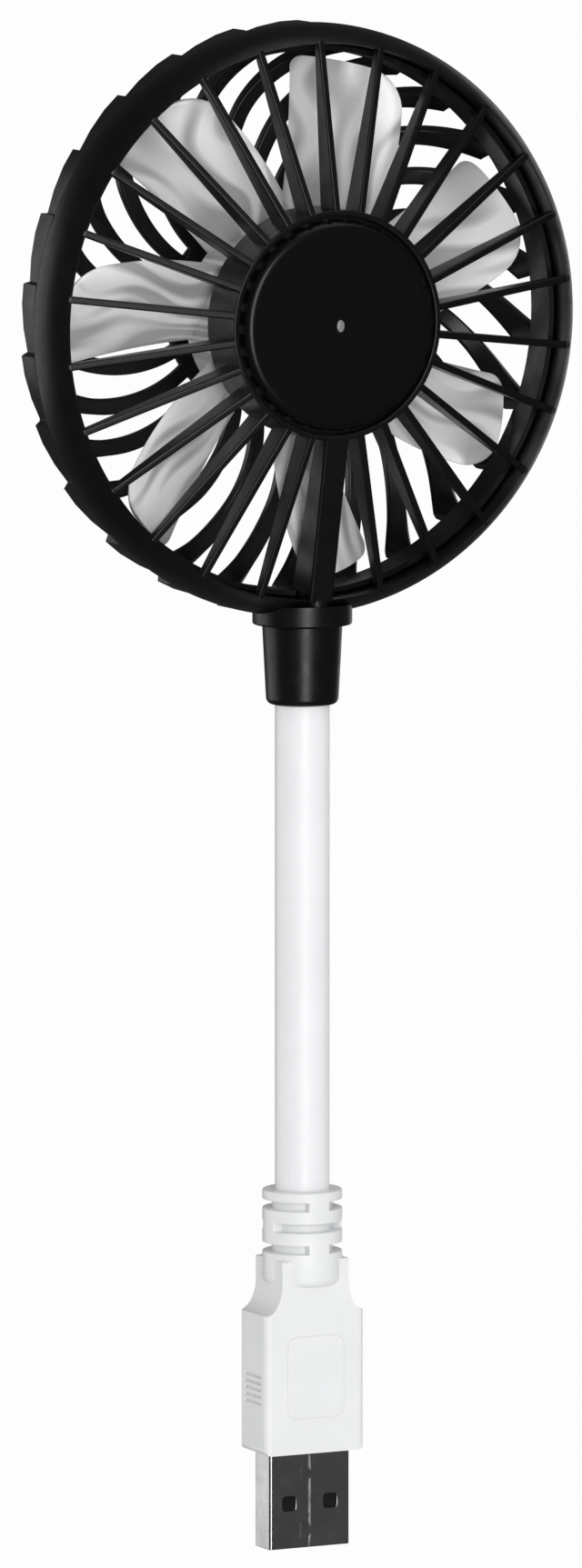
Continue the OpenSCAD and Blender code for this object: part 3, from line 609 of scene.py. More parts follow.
@dataclass(frozen=True)
class WoundFinish(Finish):
    """Enamelled wire laid turn beside turn."""

    wire_mm: float = 0.22

    def grain(self, tree: Tree, place: Socket) -> Socket:
        """Gives the height of one ridge for each turn of wire.

        Args:
            tree: The material's tree.
            place: The object's own coordinates, in metres.

        Returns:
            The height.
        """
        return add_node(tree, "ShaderNodeTexWave", {"wave_type": "RINGS", "rings_direction": "Y"},
                        Vector=place, Scale=1 / (self.wire_mm * MM * math.tau),
                        Distortion=0.0).outputs["Fac"]


# Black ABS, injection moulded in a finely sparked mould: a soft, broad gloss.
CAGE_ABS = Finish("moulded_black_abs", "cage_black", "#0a0a0b", "#080809", 0.34, ior=1.44,
                  grain_mm=0.3, grain_depth_mm=0.0025)
CAP_ABS = Finish("moulded_black_abs_cap", "cap_black", "#080809", "#070708", 0.3, ior=1.36,
                 grain_mm=0.3, grain_depth_mm=0.0025, polish_spread=0.01)
# The same ABS on the gate's pip, coloured light grey and shiny: the grey is a painted highlight of the pip's dome.
PIP_HIGHLIGHT_PAINT = Finish("pip_painted_highlight", "cap_black", "#8a8a8c", "#6c6c6e", 0.25)
# White ABS with pearl pigment, injection moulded in a polished mould: satin, with soft streaks whose light and
# dark bands are painted reflection, and painted shade towards the hub.
BLADE_ABS = BladeFinish("moulded_white_abs", "blade_white", "#fefeff", "#bcbcbe", 0.3, ior=1.53,
                        grain_depth_mm=0.15, polish_spread=0.03)
# Plasticised PVC, overmoulded on the plug: satin and very slightly cool.
GRIP_PVC = Finish("overmoulded_white_pvc", "grip_white", "#eaebec", "#e6e7e8", 0.42, ior=1.52,
                  grain_mm=0.35, grain_depth_mm=0.003)
# Plasticised PVC, extruded as the stem's jacket: smooth, with a faint draw.
JACKET_PVC = Finish("extruded_white_pvc", "jacket_white", "#efeff1", "#ebebed", 0.4, ior=1.52,
                    grain_mm=0.6, grain_depth_mm=0.003)
# Steel strip, nickel plated before it was folded: bright, with faint rolling lines.
SHELL_NICKEL = DrawnFinish("nickel_plated_steel", "shell_nickel", "#c9c9cb", "#bfbfc1", 0.2, metallic=1.0,
                           grain_depth_mm=0.0008, line_mm=0.12, polish_spread=0.04)
# Glass-filled PBT, moulded black: dull and dense.
CARRIER_PBT = Finish("moulded_black_pbt", "carrier_plastic", "#0a0a0a", "#080808", 0.7, ior=1.4)
# Phosphor bronze with gold flash: warm and bright.
CONTACT_GOLD = DrawnFinish("gold_flashed_bronze", "contact_gold", "#d9b46a", "#c9a155", 0.25, metallic=1.0,
                           grain_depth_mm=0.0006)
# Natural nylon and polyethylene, moulded: milky and soft.
INNER_PLASTIC = Finish("moulded_natural_nylon", "inner_plastic", "#e2e0d6", "#d8d5c8", 0.5)
# Annealed iron wire: dark, drawn, a little scaly.
CORE_IRON = DrawnFinish("annealed_iron_wire", "core_iron", "#6e6a66", "#5b5753", 0.5, metallic=1.0,
                        grain_depth_mm=0.003)
# PVC insulation, extruded and dyed red.
LEAD_PVC = Finish("red_lead_insulation", "lead_insulation", "#a51f1b", "#951916", 0.42)
# Brass tube, turned: warm with fine rings.
TUBE_BRASS = DrawnFinish("turned_brass", "tube_brass", "#caa25a", "#bb934c", 0.3, metallic=1.0,
                         line_scale=(0.05, 1.0, 0.05), grain_depth_mm=0.001)
# Sintered bronze soaked in oil: dull brown with open pores.
BEARING_BRONZE = Finish("sintered_bronze", "bearing_bronze", "#8a6a42", "#6d5233", 0.6, metallic=1.0,
                        grain_mm=0.12, grain_depth_mm=0.01)
# Glass-epoxy laminate under a green solder mask: smooth with a faint weave.
BOARD_EPOXY = Finish("solder_mask_on_glass_epoxy", "board_green", "#1c5a34", "#174d2c", 0.35,
                     grain_mm=0.4, grain_depth_mm=0.006)
# Moulded epoxy packages: charcoal and matt.
PART_EPOXY = Finish("moulded_epoxy_package", "part_black", "#1f1f21", "#18181a", 0.6)
# Silicon steel, pressed and zinc flashed: grey with stacking lines across the axis.
STATOR_STEEL = DrawnFinish("pressed_silicon_steel", "stator_steel", "#8f9092", "#7d7e80", 0.45, metallic=1.0,
                           line_scale=(0.02, 1.0, 0.02), line_mm=0.5, grain_depth_mm=0.01)
# Enamelled copper wire, wound in turns.
COIL_COPPER = WoundFinish("enamelled_copper_winding", "coil_copper", "#b5602f", "#9c4f24", 0.3, metallic=1.0,
                          grain_depth_mm=0.044)
# Bonded ferrite, pressed: near black and chalky.
MAGNET_FERRITE = Finish("bonded_ferrite", "magnet_ferrite", "#3a3735", "#302d2b", 0.65)
# Hardened steel, centreless ground.
SHAFT_STEEL = DrawnFinish("ground_steel", "shaft_steel", "#c4c4c6", "#b6b6b8", 0.18, metallic=1.0,
                          line_scale=(0.05, 1.0, 0.05), grain_depth_mm=0.0006)

FINISHES = [CAGE_ABS, CAP_ABS, BLADE_ABS, GRIP_PVC, JACKET_PVC, SHELL_NICKEL, CARRIER_PBT, CONTACT_GOLD,
            INNER_PLASTIC, CORE_IRON, LEAD_PVC, TUBE_BRASS, BEARING_BRONZE, BOARD_EPOXY, PART_EPOXY,
            STATOR_STEEL, COIL_COPPER, MAGNET_FERRITE, SHAFT_STEEL]


class Finishes:
    """Builds each finish once and hands it out by its slot."""

    def __init__(self, finishes: Sequence[Finish]) -> None:
        """Builds the materials.

        Args:
            finishes: One finish for each slot of the record.
        """
        self.by_slot = {finish.slot: finish.build() for finish in finishes}

    def dress_frame(self) -> None:
        """Gives every CAD node the material of its slot."""
        for part in frame["record"]["subparts"]:
            for slot in frame["nodes"][part["node"]].material_slots:
                slot.material = self.by_slot[part["material_slot"]]


@dataclass
class Assembly:
    """What every sub-assembly shares: the finishes and the way a piece is handed in."""

    finishes: Finishes

    def publish(self, name: str, bm: Solid, matrix: Matrix, slot: str,
                bodies: Sequence[str], nodes: Sequence[str] = (),
                span: Optional[tuple[Vector, Vector]] = None) -> bpy.types.Object:
        """Makes a piece from its solid and joins a piece on one body to that body.

        Args:
            name: The piece's name.
            bm: Its solid, in millimetres. It is used up.
            matrix: What takes the solid to its place in metres.
            slot: The record's material slot of its finish.
            bodies: The body that carries it, or the two that it lies between, which are only named in the log.
            nodes: The CAD nodes that it stands for.
            span: Where the bend starts and ends, for a piece on two bodies. Only whether it is given is read: such
                a piece stays unattached.

        Returns:
            The finished piece.
        """
        mesh = bpy.data.meshes.new(name)
        moved(bm, matrix).to_mesh(mesh)
        bm.free()
        mesh.shade_smooth()
        mesh.set_sharp_from_angle(angle=math.radians(SHARP))
        mesh.materials.clear()
        mesh.materials.append(self.finishes.by_slot[slot])
        piece = bpy.data.objects.new(name, mesh)
        bpy.context.scene.collection.objects.link(piece)
        if span:
            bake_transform(piece)
        else:
            even = piece.modifiers.new("even_faces", "WEIGHTED_NORMAL")
            even.keep_sharp = True
            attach(piece, bodies[0])
        if nodes:
            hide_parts(*nodes)
        LOG.info("%s: %d faces on %s", name, len(mesh.polygons), " and ".join(bodies))
        return piece


# ---------------------------------------------------------------- plug


@dataclass
class UsbPlug(Assembly):
    """The plug: a folded nickel-plated shell and the grip moulded over its back."""

    # The shell: its tube, its windows, and its seam with the heights of two dovetails.
    shell_corner: float = 0.42
    shell_wall: float = 0.3
    mouth_round: float = 0.1
    window: float = 2.0
    window_pitch: float = 6.14
    window_height: float = 6.1
    window_corner: float = 0.4
    window_round: float = 0.13
    seam_width: float = 0.4
    seam_depth: float = 0.092
    seam_end: float = 19.0
    dovetail: float = 1.25
    dovetail_slant: float = 0.3
    dovetails: tuple[Point2, ...] = ((1.5, 3.3), (9.2, 10.9))
    # The grip's slab, its shoulder and the strain relief on it.
    grip_width: float = 14.8
    grip_thickness: float = 8.0
    rim_round: float = 0.3
    shoulder_height: float = 31.9
    shoulder_width: float = 9.9
    shoulder_curve: float = 4.2
    relief_foot: float = 35.5
    relief_radius: float = 5.35
    relief_foot_round: float = 1.1
    relief_top_round: float = 0.25
    plate_top: float = 39.1
    edge_round: float = 0.95
    # Its thumb panels, and the room inside it: half width, half depth and top.
    panel: Point2 = (8.4, 11.1)
    panel_corner: float = 1.4
    panel_round: float = 0.16
    panel_height: float = 23.35
    panel_rise: float = 0.25
    mould_room: Point3 = (6.05, 2.3, 30.0)
    # Its finger grooves, the relief's slits with the bridges between them, and the stem's seat.
    groove_height: float = 21.75
    groove_pitch: float = 0.9
    groove_count: int = 5
    groove_length: float = 5.0
    groove_depth: float = 0.35
    groove_half: float = 0.23
    cut_round: float = 0.12
    slits: int = 3
    slit_first: float = 40.0
    slit_pitch: float = 2.9
    slit_height: float = 1.2
    slit_floor: float = 4.05
    bridge: float = 3.0
    stem_seat: float = 3.68
    stem_foot: float = 29.0

    def shell_seam(self) -> list[Solid]:
        """Lays the groove where the folded strip meets itself, sheared at a slant, with two dovetails.

        Returns:
            Its stretches, ready to be cut out of the shell.
        """
        slant = self.dovetail_slant
        line = [(0.0, -PAST)]
        for low, high in self.dovetails:
            line += [(0.0, low + slant), (-self.dovetail, low), (-self.dovetail, high), (0.0, high - slant)]
        line.append((0.0, self.seam_end))
        front = node_box("usb_shell")[0].y
        half, deep = self.seam_width / 2, self.seam_depth
        bars = []
        for (x0, z0), (x1, z1) in zip(line, line[1:]):
            bar = prism([(-half, -deep / 2), (half * 2, -deep / 2), (-half, deep)],
                        -half * 0.5, math.dist((x0, z0), (x1, z1)) + half * 0.5)
            lean = Matrix.Rotation(math.atan2(x1 - x0, z1 - z0), 4, "Y")
            bars.append(moved(bar, Matrix.Translation((x0, front, z0)) @ lean))
        return bars

    def shell_solid(self) -> Solid:
        """Folds the shell: a thin rounded tube with two windows through each face.

        Returns:
            The shell.
        """
        low, high = node_box("usb_shell")
        width, depth = high.x - low.x, high.y - low.y
        tube = prism(rounded_box(width, depth, self.shell_corner, 8), low.z, high.z)
        soften(tube, self.mouth_round, where(lambda at: at.z < low.z + 0.1))
        wall = self.shell_wall
        bore = prism(rounded_box(width - 2 * wall, depth - 2 * wall, self.shell_corner - wall, 8),
                     low.z - PAST, high.z + PAST)
        hole = prism(rounded_box(self.window, self.window, self.window_corner, 3), *THROUGH)
        places = [Matrix.Translation((side * self.window_pitch / 2, 0, self.window_height)) @ STAND_UP
                  for side in (-1, 1)]
        shell = combined(tube, [bore, *copies(hole, places)], Cut.CARVE)
        soften(shell, self.window_round,
               where(lambda at: abs(abs(at.y) - depth / 2) < 1e-3
                     and abs(at.z - self.window_height) < self.window * 0.8), 2)
        return combined(shell, self.shell_seam(), Cut.CARVE)

    def grip_outline(self) -> list[Point2]:
        """Draws the grip's front view: a slab whose shoulder flares in to the relief.

        Returns:
            Its points as (x, z).
        """
        base = node_box("plug_grip")[0].z
        foot, top, edge = self.grip_width / 2, self.shoulder_width / 2, self.edge_round
        right = arc((foot - edge, base + edge), edge, -90, 0, 6)
        for step in range(13):
            turn = math.radians(90 * step / 12)
            right.append((top + (foot - top) * (1 - math.sin(turn)),
                          self.shoulder_height + self.shoulder_curve * (1 - math.cos(turn))))
        right.append((top, self.plate_top))
        return right + [(-x, z) for x, z in reversed(right)]

    def grip_body(self) -> Solid:
        """Moulds the slab with its shoulder, the relief's stub and the thumb panels.

        Returns:
            The grip before anything is cut out of it.
        """
        low, high = node_box("plug_grip")
        half = self.grip_thickness / 2
        slab = moved(prism(self.grip_outline(), -half, half), STAND_UP)
        column = prism(rounded_box(self.grip_width, half * 2, self.edge_round, 8), low.z - PAST, high.z)
        slab = combined(slab, [column], Cut.KEEP_COMMON)
        soften(slab, self.rim_round, where(lambda at: abs(abs(at.y) - half) < 0.01), angle=50)
        relief = rod(self.relief_radius, self.relief_foot, high.z, 96)
        soften(relief, self.relief_foot_round, where(lambda at: at.z < self.relief_foot + 0.1), 5)
        soften(relief, self.relief_top_round, where(lambda at: at.z > high.z - 0.1))
        panel = prism(rounded_box(*self.panel, self.panel_corner, 6), half - PAST, half + self.panel_rise)
        soften(panel, self.panel_round, where(lambda at: at.z > half))
        panels = copies(panel, [Matrix.Rotation(turn, 4, "Z")
                                @ Matrix.Translation((0, 0, self.panel_height)) @ STAND_UP
                                for turn in (0, math.pi)])
        return combined(slab, [relief, *panels], Cut.JOIN)

    def grooves(self) -> list[Solid]:
        """Lays the finger grooves along both narrow sides.

        Returns:
            The grooves, ready to be cut.
        """
        cuts = []
        for side in (-1, 1):
            for i in range(self.groove_count):
                z = self.groove_height + (i - (self.groove_count - 1) / 2) * self.groove_pitch
                x = side * self.grip_width / 2
                groove = block((x - self.groove_depth, -self.groove_length / 2, z - self.groove_half),
                               (x + self.groove_depth, self.groove_length / 2, z + self.groove_half))
                cuts.append(soften(groove, self.cut_round, segments=2))
        return cuts

    def slit_rings(self) -> list[Solid]:
        """Lays the relief's slits, which leave bridges at the front and at the sides by turns.

        Returns:
            The slits, ready to be cut.
        """
        keep, outside = self.bridge / 2, self.relief_radius + PAST
        cuts = []
        for i in range(self.slits):
            z = self.slit_first + i * self.slit_pitch
            top = z + self.slit_height
            ring = lathe([(self.slit_floor, z), (outside, z), (outside, top), (self.slit_floor, top)])
            x, y = (outside + PAST, keep) if i % 2 else (keep, outside + PAST)
            cuts.append(combined(ring, [block((-x, -y, z - PAST), (x, y, top + PAST))], Cut.CARVE))
        return cuts

    def grip_solid(self) -> Solid:
        """Cuts the grip's insides, grooves and slits, and rounds the slits' edges.

        Returns:
            The grip.
        """
        low, high = node_box("plug_grip")
        x, y, top = self.mould_room
        tools = [block((-x, -y, low.z - PAST), (x, y, top)),
                 rod(self.stem_seat, self.stem_foot, high.z + PAST, 64)]
        body = combined(self.grip_body(), [*tools, *self.grooves(), *self.slit_rings()], Cut.CARVE)
        bmesh.ops.dissolve_degenerate(body, edges=body.edges, dist=1e-4)
        above = self.slit_first + (self.slits - 1) * self.slit_pitch + self.slit_height + 0.5
        return soften(body, self.cut_round,
                      where(lambda at: self.slit_first - 0.3 < at.z < above
                            and abs(at.xy.length - self.relief_radius) < 0.02), 2, 50)

    def build(self) -> None:
        """Builds and hands in the shell and the grip."""
        self.publish("usb_plug_shell", self.shell_solid(), UPRIGHT, "shell_nickel", ["plug"], ["usb_shell"])
        self.publish("usb_plug_grip", self.grip_solid(), UPRIGHT, "grip_white", ["plug"], ["plug_grip"])


# ---------------------------------------------------------------- stem


@dataclass
class Gooseneck(Assembly):
    """The bendable stem: one smooth PVC jacket over an iron core and two leads."""

    radius: float = 3.65
    bore: float = 2.2
    foot: float = 30.05
    first_bend: float = 48.4
    pitch: float = 8.2
    last_bend: float = 113.4
    head_end: float = 119.45
    ring_height: float = 0.4
    around: int = 64
    links: int = 7

    def tube(self, low: float, high: float) -> Solid:
        """Extrudes a length of jacket.

        Args:
            low: Height of its lower end.
            high: Height of its upper end.

        Returns:
            The tube, with rings close enough to bend smoothly.
        """
        bm = lathe([(self.bore, low), (self.radius, low), (self.radius, high), (self.bore, high)],
                   self.around)
        upright = [edge for edge in bm.edges if climb(edge) > 0.1]
        bmesh.ops.subdivide_edges(bm, edges=upright, cuts=round((high - low) / self.ring_height),
                                  use_grid_fill=True)
        return bm

    def build(self) -> None:
        """Builds the jacket: a fixed foot, eight bends and the end in the neck."""
        chain = ["plug", *(f"link_{i + 1}" for i in range(self.links)), "head"]
        self.publish("stem_jacket_in_relief", self.tube(self.foot, self.first_bend), UPRIGHT, "jacket_white",
                     ["plug"], ["stem_jacket_base"])
        for i, bodies in enumerate(zip(chain, chain[1:])):
            low = self.first_bend + i * self.pitch
            high = min(low + self.pitch, self.last_bend)
            nodes = [f"stem_jacket_{i + 1}"] if i < self.links else []
            self.publish(f"stem_jacket_bend_{i + 1}", self.tube(low, high), UPRIGHT, "jacket_white",
                         bodies, nodes, (Vector((0, 0, low * MM)), Vector((0, 0, high * MM))))
        self.publish("stem_jacket_in_neck", self.tube(self.last_bend, self.head_end), UPRIGHT,
                     "jacket_white", ["head"], ["stem_jacket_top"])


# ---------------------------------------------------------------- neck


@dataclass
class Neck(Assembly):
    """The tapered black sleeve that holds the stem's end and plugs into the cage."""

    bore: float = 3.7
    foot_radius: float = 4.85
    top_radius: float = 5.35
    foot_round: float = 0.9
    spigot_height: float = 1.5
    chamfer: float = 0.15
    spigot_radius: float = 4.45
    cavity_radius: float = 3.25
    socket: float = 119.5
    partition_top: float = 121.9
    drilled: Point2 = (118.0, 124.0)
    core_hole: float = 0.95
    lead_hole: float = 0.55
    lead_offset: float = 1.45

    def solid(self) -> Solid:
        """Turns the sleeve and cuts the holes of the core and the leads.

        Returns:
            The sleeve.
        """
        low, high = node_box("neck_sleeve")
        shoulder, edge = high.z - self.spigot_height, self.foot_round
        nose = arc((self.foot_radius - edge, low.z + edge), edge, -90, 0, 7)
        outline = [(0, self.socket), (self.bore, self.socket), (self.bore, low.z), *nose,
                   (self.top_radius, shoulder - self.chamfer), (self.top_radius - self.chamfer, shoulder),
                   (self.spigot_radius, shoulder), (self.spigot_radius, high.z),
                   (self.cavity_radius, high.z), (self.cavity_radius, self.partition_top),
                   (0, self.partition_top)]
        leads = copies(rod(self.lead_hole, *self.drilled),
                       [Matrix.Translation((side * self.lead_offset, 0, 0)) for side in (-1, 1)])
        pads = moved(rod(PAD_ROOM, PAD_START, THROUGH[1], 192),
                     Matrix.Translation((0, 0, HEAD_HEIGHT)) @ LIE_DOWN)
        holes = [rod(self.core_hole, *self.drilled), *leads, pads]
        return combined(lathe(outline, 128), holes, Cut.CARVE)

    def build(self) -> None:
        """Builds and hands in the sleeve."""
        self.publish("neck_taper", self.solid(), UPRIGHT, "cage_black", ["head"], ["neck_sleeve"])


# ---------------------------------------------------------------- cage


@dataclass
class FrontGuard(Assembly):
    """The front of the cage: a crowned rim, radial spokes, a motor cup and a collar."""

    rim_in: float = 36.9
    rim_arc: float = 7.994
    cage_radius: float = 39.49
    split: float = -0.2
    nose: float = 5.9
    spokes: int = 26
    column: int = 13
    # A spoke: how deep it roots in the cup and the rim, its drop below the rim's nose, and
    # its depths at the cup and at the rim.
    rooted: float = 0.4
    spoke_drop: float = 0.2
    spoke_depths: Point2 = (4.3, 1.3)
    spoke_width: float = 0.95
    # The column that hides the leads: how far it stays inside the cage, where its outer end
    # starts to slope, and its back at the cup.
    column_inset: float = 0.8
    column_slope: float = 3.0
    column_back: float = 7.1
    column_width: float = 3.5
    cup_radius: float = 15.3
    cup_in: float = 14.5
    cup_back: float = 2.7
    cup_front: float = 10.5
    slot_width: float = 2.2
    spoke_round: float = 0.22
    column_round: float = 0.35
    cup_round: float = 0.18
    # The cup's floor with the bearing's boss, and the ledge that the cap sits on.
    boss_back: Outline = ((0, 7.55), (2.55, 7.55), (2.55, 5.3), (3.6, 5.3), (3.6, 6.4))
    ledge: Outline = ((12.6, 9.1), (12.6, 7.4), (3.6, 7.4), (3.6, 8.4), (0, 8.4))
    collar_radius: float = 6.65
    collar_height: float = 2.8
    collar_round: float = 0.3
    collar_inside: float = 37.5
    post_base: float = 1.0
    post_top: float = 4.4
    # The way of the leads behind the column, and its slots through the rim, the cup's wall
    # and the cup's floor, each as (radius, forward).
    lead_way: Outline = ((37.2, 1.35), (15.1, 8.7), (15.1, 5.0), (15.3, 5.0), (37.2, -2.2))
    lead_slots: tuple[Outline, ...] = (((35.9, -2.2), (60.0, 1.35)), ((10.3, 7.4), (15.7, 8.7)),
                                       ((10.3, 5.4), (11.6, 8.4)))
    spigot_seat: Point2 = (4.5, 1.55)

    def spoke_turn(self, number: int) -> Matrix:
        """Gives the turn of a spoke, counted clockwise from the top."""
        return clock(number * 360 / self.spokes)

    def rim(self) -> Solid:
        """Turns the crowned rim.

        Returns:
            The rim.
        """
        centre = self.cage_radius - self.rim_arc
        start = math.degrees(math.asin(self.split / self.rim_arc))
        end = math.degrees(math.asin(self.nose / self.rim_arc))
        outline = [(self.rim_in, self.split), *arc((centre, 0), self.rim_arc, start, end, 14)]
        outline[-1] = (self.rim_in, outline[-1][1])
        return soften(lathe(outline, RIM_STEPS), self.spoke_round, angle=40)

    def side_plate(self, outline: Sequence[Point2], width: float, rounding: float) -> Solid:
        """Cuts a radial plate from its side view and rounds its edges.

        Args:
            outline: Corners as (radius, forward).
            width: The plate's width across.
            rounding: Radius of its edges, or 0.

        Returns:
            The plate along +x.
        """
        plate = prism(outline, -width / 2, width / 2)
        if rounding:
            soften(plate, rounding, is_level)
        return moved(plate, STAND_UP)

    def ribs(self) -> list[Solid]:
        """Lays the spokes and the lead column round the axis.

        Returns:
            The spokes with the column in its turn.
        """
        inner, outer = self.cup_radius - self.rooted, self.rim_in + self.rooted
        top, deep = self.nose - self.spoke_drop, self.spoke_depths
        spoke = self.side_plate([(inner, self.cup_front), (outer, top), (outer, top - deep[1]),
                                 (inner, self.cup_front - deep[0])], self.spoke_width, self.spoke_round)
        end = self.cage_radius - self.column_inset
        column = self.side_plate([(inner, self.cup_front), (outer, top), (end, self.column_slope),
                                  (end, self.split), (self.lead_way[0][0], self.split),
                                  (inner, self.column_back)], self.column_width, self.column_round)
        laid = copies(spoke, [self.spoke_turn(k) for k in range(self.spokes) if k != self.column])
        laid.insert(self.column, moved(column, self.spoke_turn(self.column)))
        return laid

    def cup(self) -> Solid:
        """Turns the motor cup with its floor, its ledge and the boss of the bearing.

        Returns:
            The cup.
        """
        floor, seat = self.boss_back[-1][1], self.ledge[0][1]
        outline = [*self.boss_back, (self.cup_in, floor), (self.cup_in, self.cup_back),
                   (self.cup_radius, self.cup_back), (self.cup_radius, self.cup_front),
                   (self.cup_in, self.cup_front), (self.cup_in, seat), *self.ledge]
        return soften(lathe(outline, 128), self.cup_round,
                      where(lambda at: at.z > self.cup_front - 0.01))

    def collar(self) -> list[Solid]:
        """Turns the collar under the rim and the round foot of the column on it.

        Returns:
            The collar and the foot.
        """
        base = node_box("front_guard")[0].z
        drum = rod(self.collar_radius, base, base + self.collar_height, 128)
        soften(drum, self.collar_round, where(lambda at: at.z < base + 0.1))
        inside = [rod(self.collar_inside, *THROUGH, RIM_STEPS),
                  rod(PAD_ROOM, THROUGH[0], -PAD_START, RIM_STEPS)]
        ring = combined(moved(drum, INTO_HEAD), inside, Cut.CARVE)
        half = self.column_width / 2
        post = rod(half, base + self.post_base, base + self.post_top, 48)
        return [ring, moved(post, INTO_HEAD @ Matrix.Translation((0, -(self.nose - half), 0)))]

    def passages(self) -> list[Solid]:
        """Cuts the groove behind the column and the way through the cup for the leads.

        Returns:
            The passages and the neck's seat, ready to be cut.
        """
        half = self.slot_width / 2
        slots = [block((near, -half, low), (far, half, high))
                 for (near, low), (far, high) in self.lead_slots]
        groove = self.side_plate(self.lead_way, self.slot_width, 0)
        turned = [moved(cut, self.spoke_turn(self.column)) for cut in (groove, *slots)]
        base = node_box("front_guard")[0].z
        radius, depth = self.spigot_seat
        return [*turned, moved(rod(radius, base - PAST, base + depth, 96), INTO_HEAD)]

    def build(self) -> None:
        """Builds and hands in the front guard."""
        joined = combined(self.rim(), [self.cup(), *self.ribs(), *self.collar()], Cut.JOIN)
        guard = combined(joined, self.passages(), Cut.CARVE)
        self.publish("cage_front", guard, HEAD, "cage_black", ["head"], ["front_guard"])


@dataclass
class HubCap(Assembly):
    """The round cap over the motor, with finger scallops round its edge."""

    radius: float = 13.95
    back: float = 9.1
    face: float = 11.3
    edge_round: float = 1.3
    scallops: int = 30
    scallop_radius: float = 0.8
    scallop_centre: float = 14.35
    # Its hollow underside and the wall that the cup's ledge holds.
    underside: Outline = ((0, 10.1), (11.5, 10.1), (11.5, 8.7), (12.5, 8.7))
    pip_radius: float = 0.65
    pip_rise: float = 0.2
    pip_oval: Point2 = (0.85, 1.25)

    def solid(self) -> Solid:
        """Turns the cap and cuts its scallops.

        Returns:
            The cap.
        """
        edge = self.edge_round
        shoulder = arc((self.radius - edge, self.face - edge), edge, 0, 90, 10)
        outline = [*self.underside, (self.underside[-1][0], self.back), (self.radius, self.back),
                   *shoulder, (0, self.face)]
        flutes = copies(rod(self.scallop_radius, self.back - PAST, self.face + PAST, 32),
                        [Matrix.Rotation(math.tau * k / self.scallops, 4, "Z")
                         @ Matrix.Translation((self.scallop_centre, 0, 0)) for k in range(self.scallops)])
        return combined(lathe(outline, 180), flutes, Cut.CARVE)

    def pip(self) -> Solid:
        """Leaves the mark of the moulding gate, a low oval button.

        Returns:
            The button.
        """
        turns = [math.radians(angle) for angle in range(0, 91, 10)]
        dome = [(self.pip_radius * math.cos(t), self.pip_rise * math.sin(t)) for t in turns]
        button = lathe([(0, -0.1), (self.pip_radius, -0.1), *dome], 32)
        return moved(button, Matrix.Translation((0, 0, self.face)) @ Matrix.Diagonal((*self.pip_oval, 1, 1)))

    def build(self) -> None:
        """Builds and hands in the cap and its pip."""
        self.publish("motor_cap", self.solid(), HEAD, "cap_black", ["head"], ["hub_cap"])
        pip = self.publish("motor_cap_pip", self.pip(), HEAD, "cap_black", ["head"])
        # Painted highlight: the pip's light grey colour stands in for the glint on its dome.
        pip.data.materials[0] = PIP_HIGHLIGHT_PAINT.build()


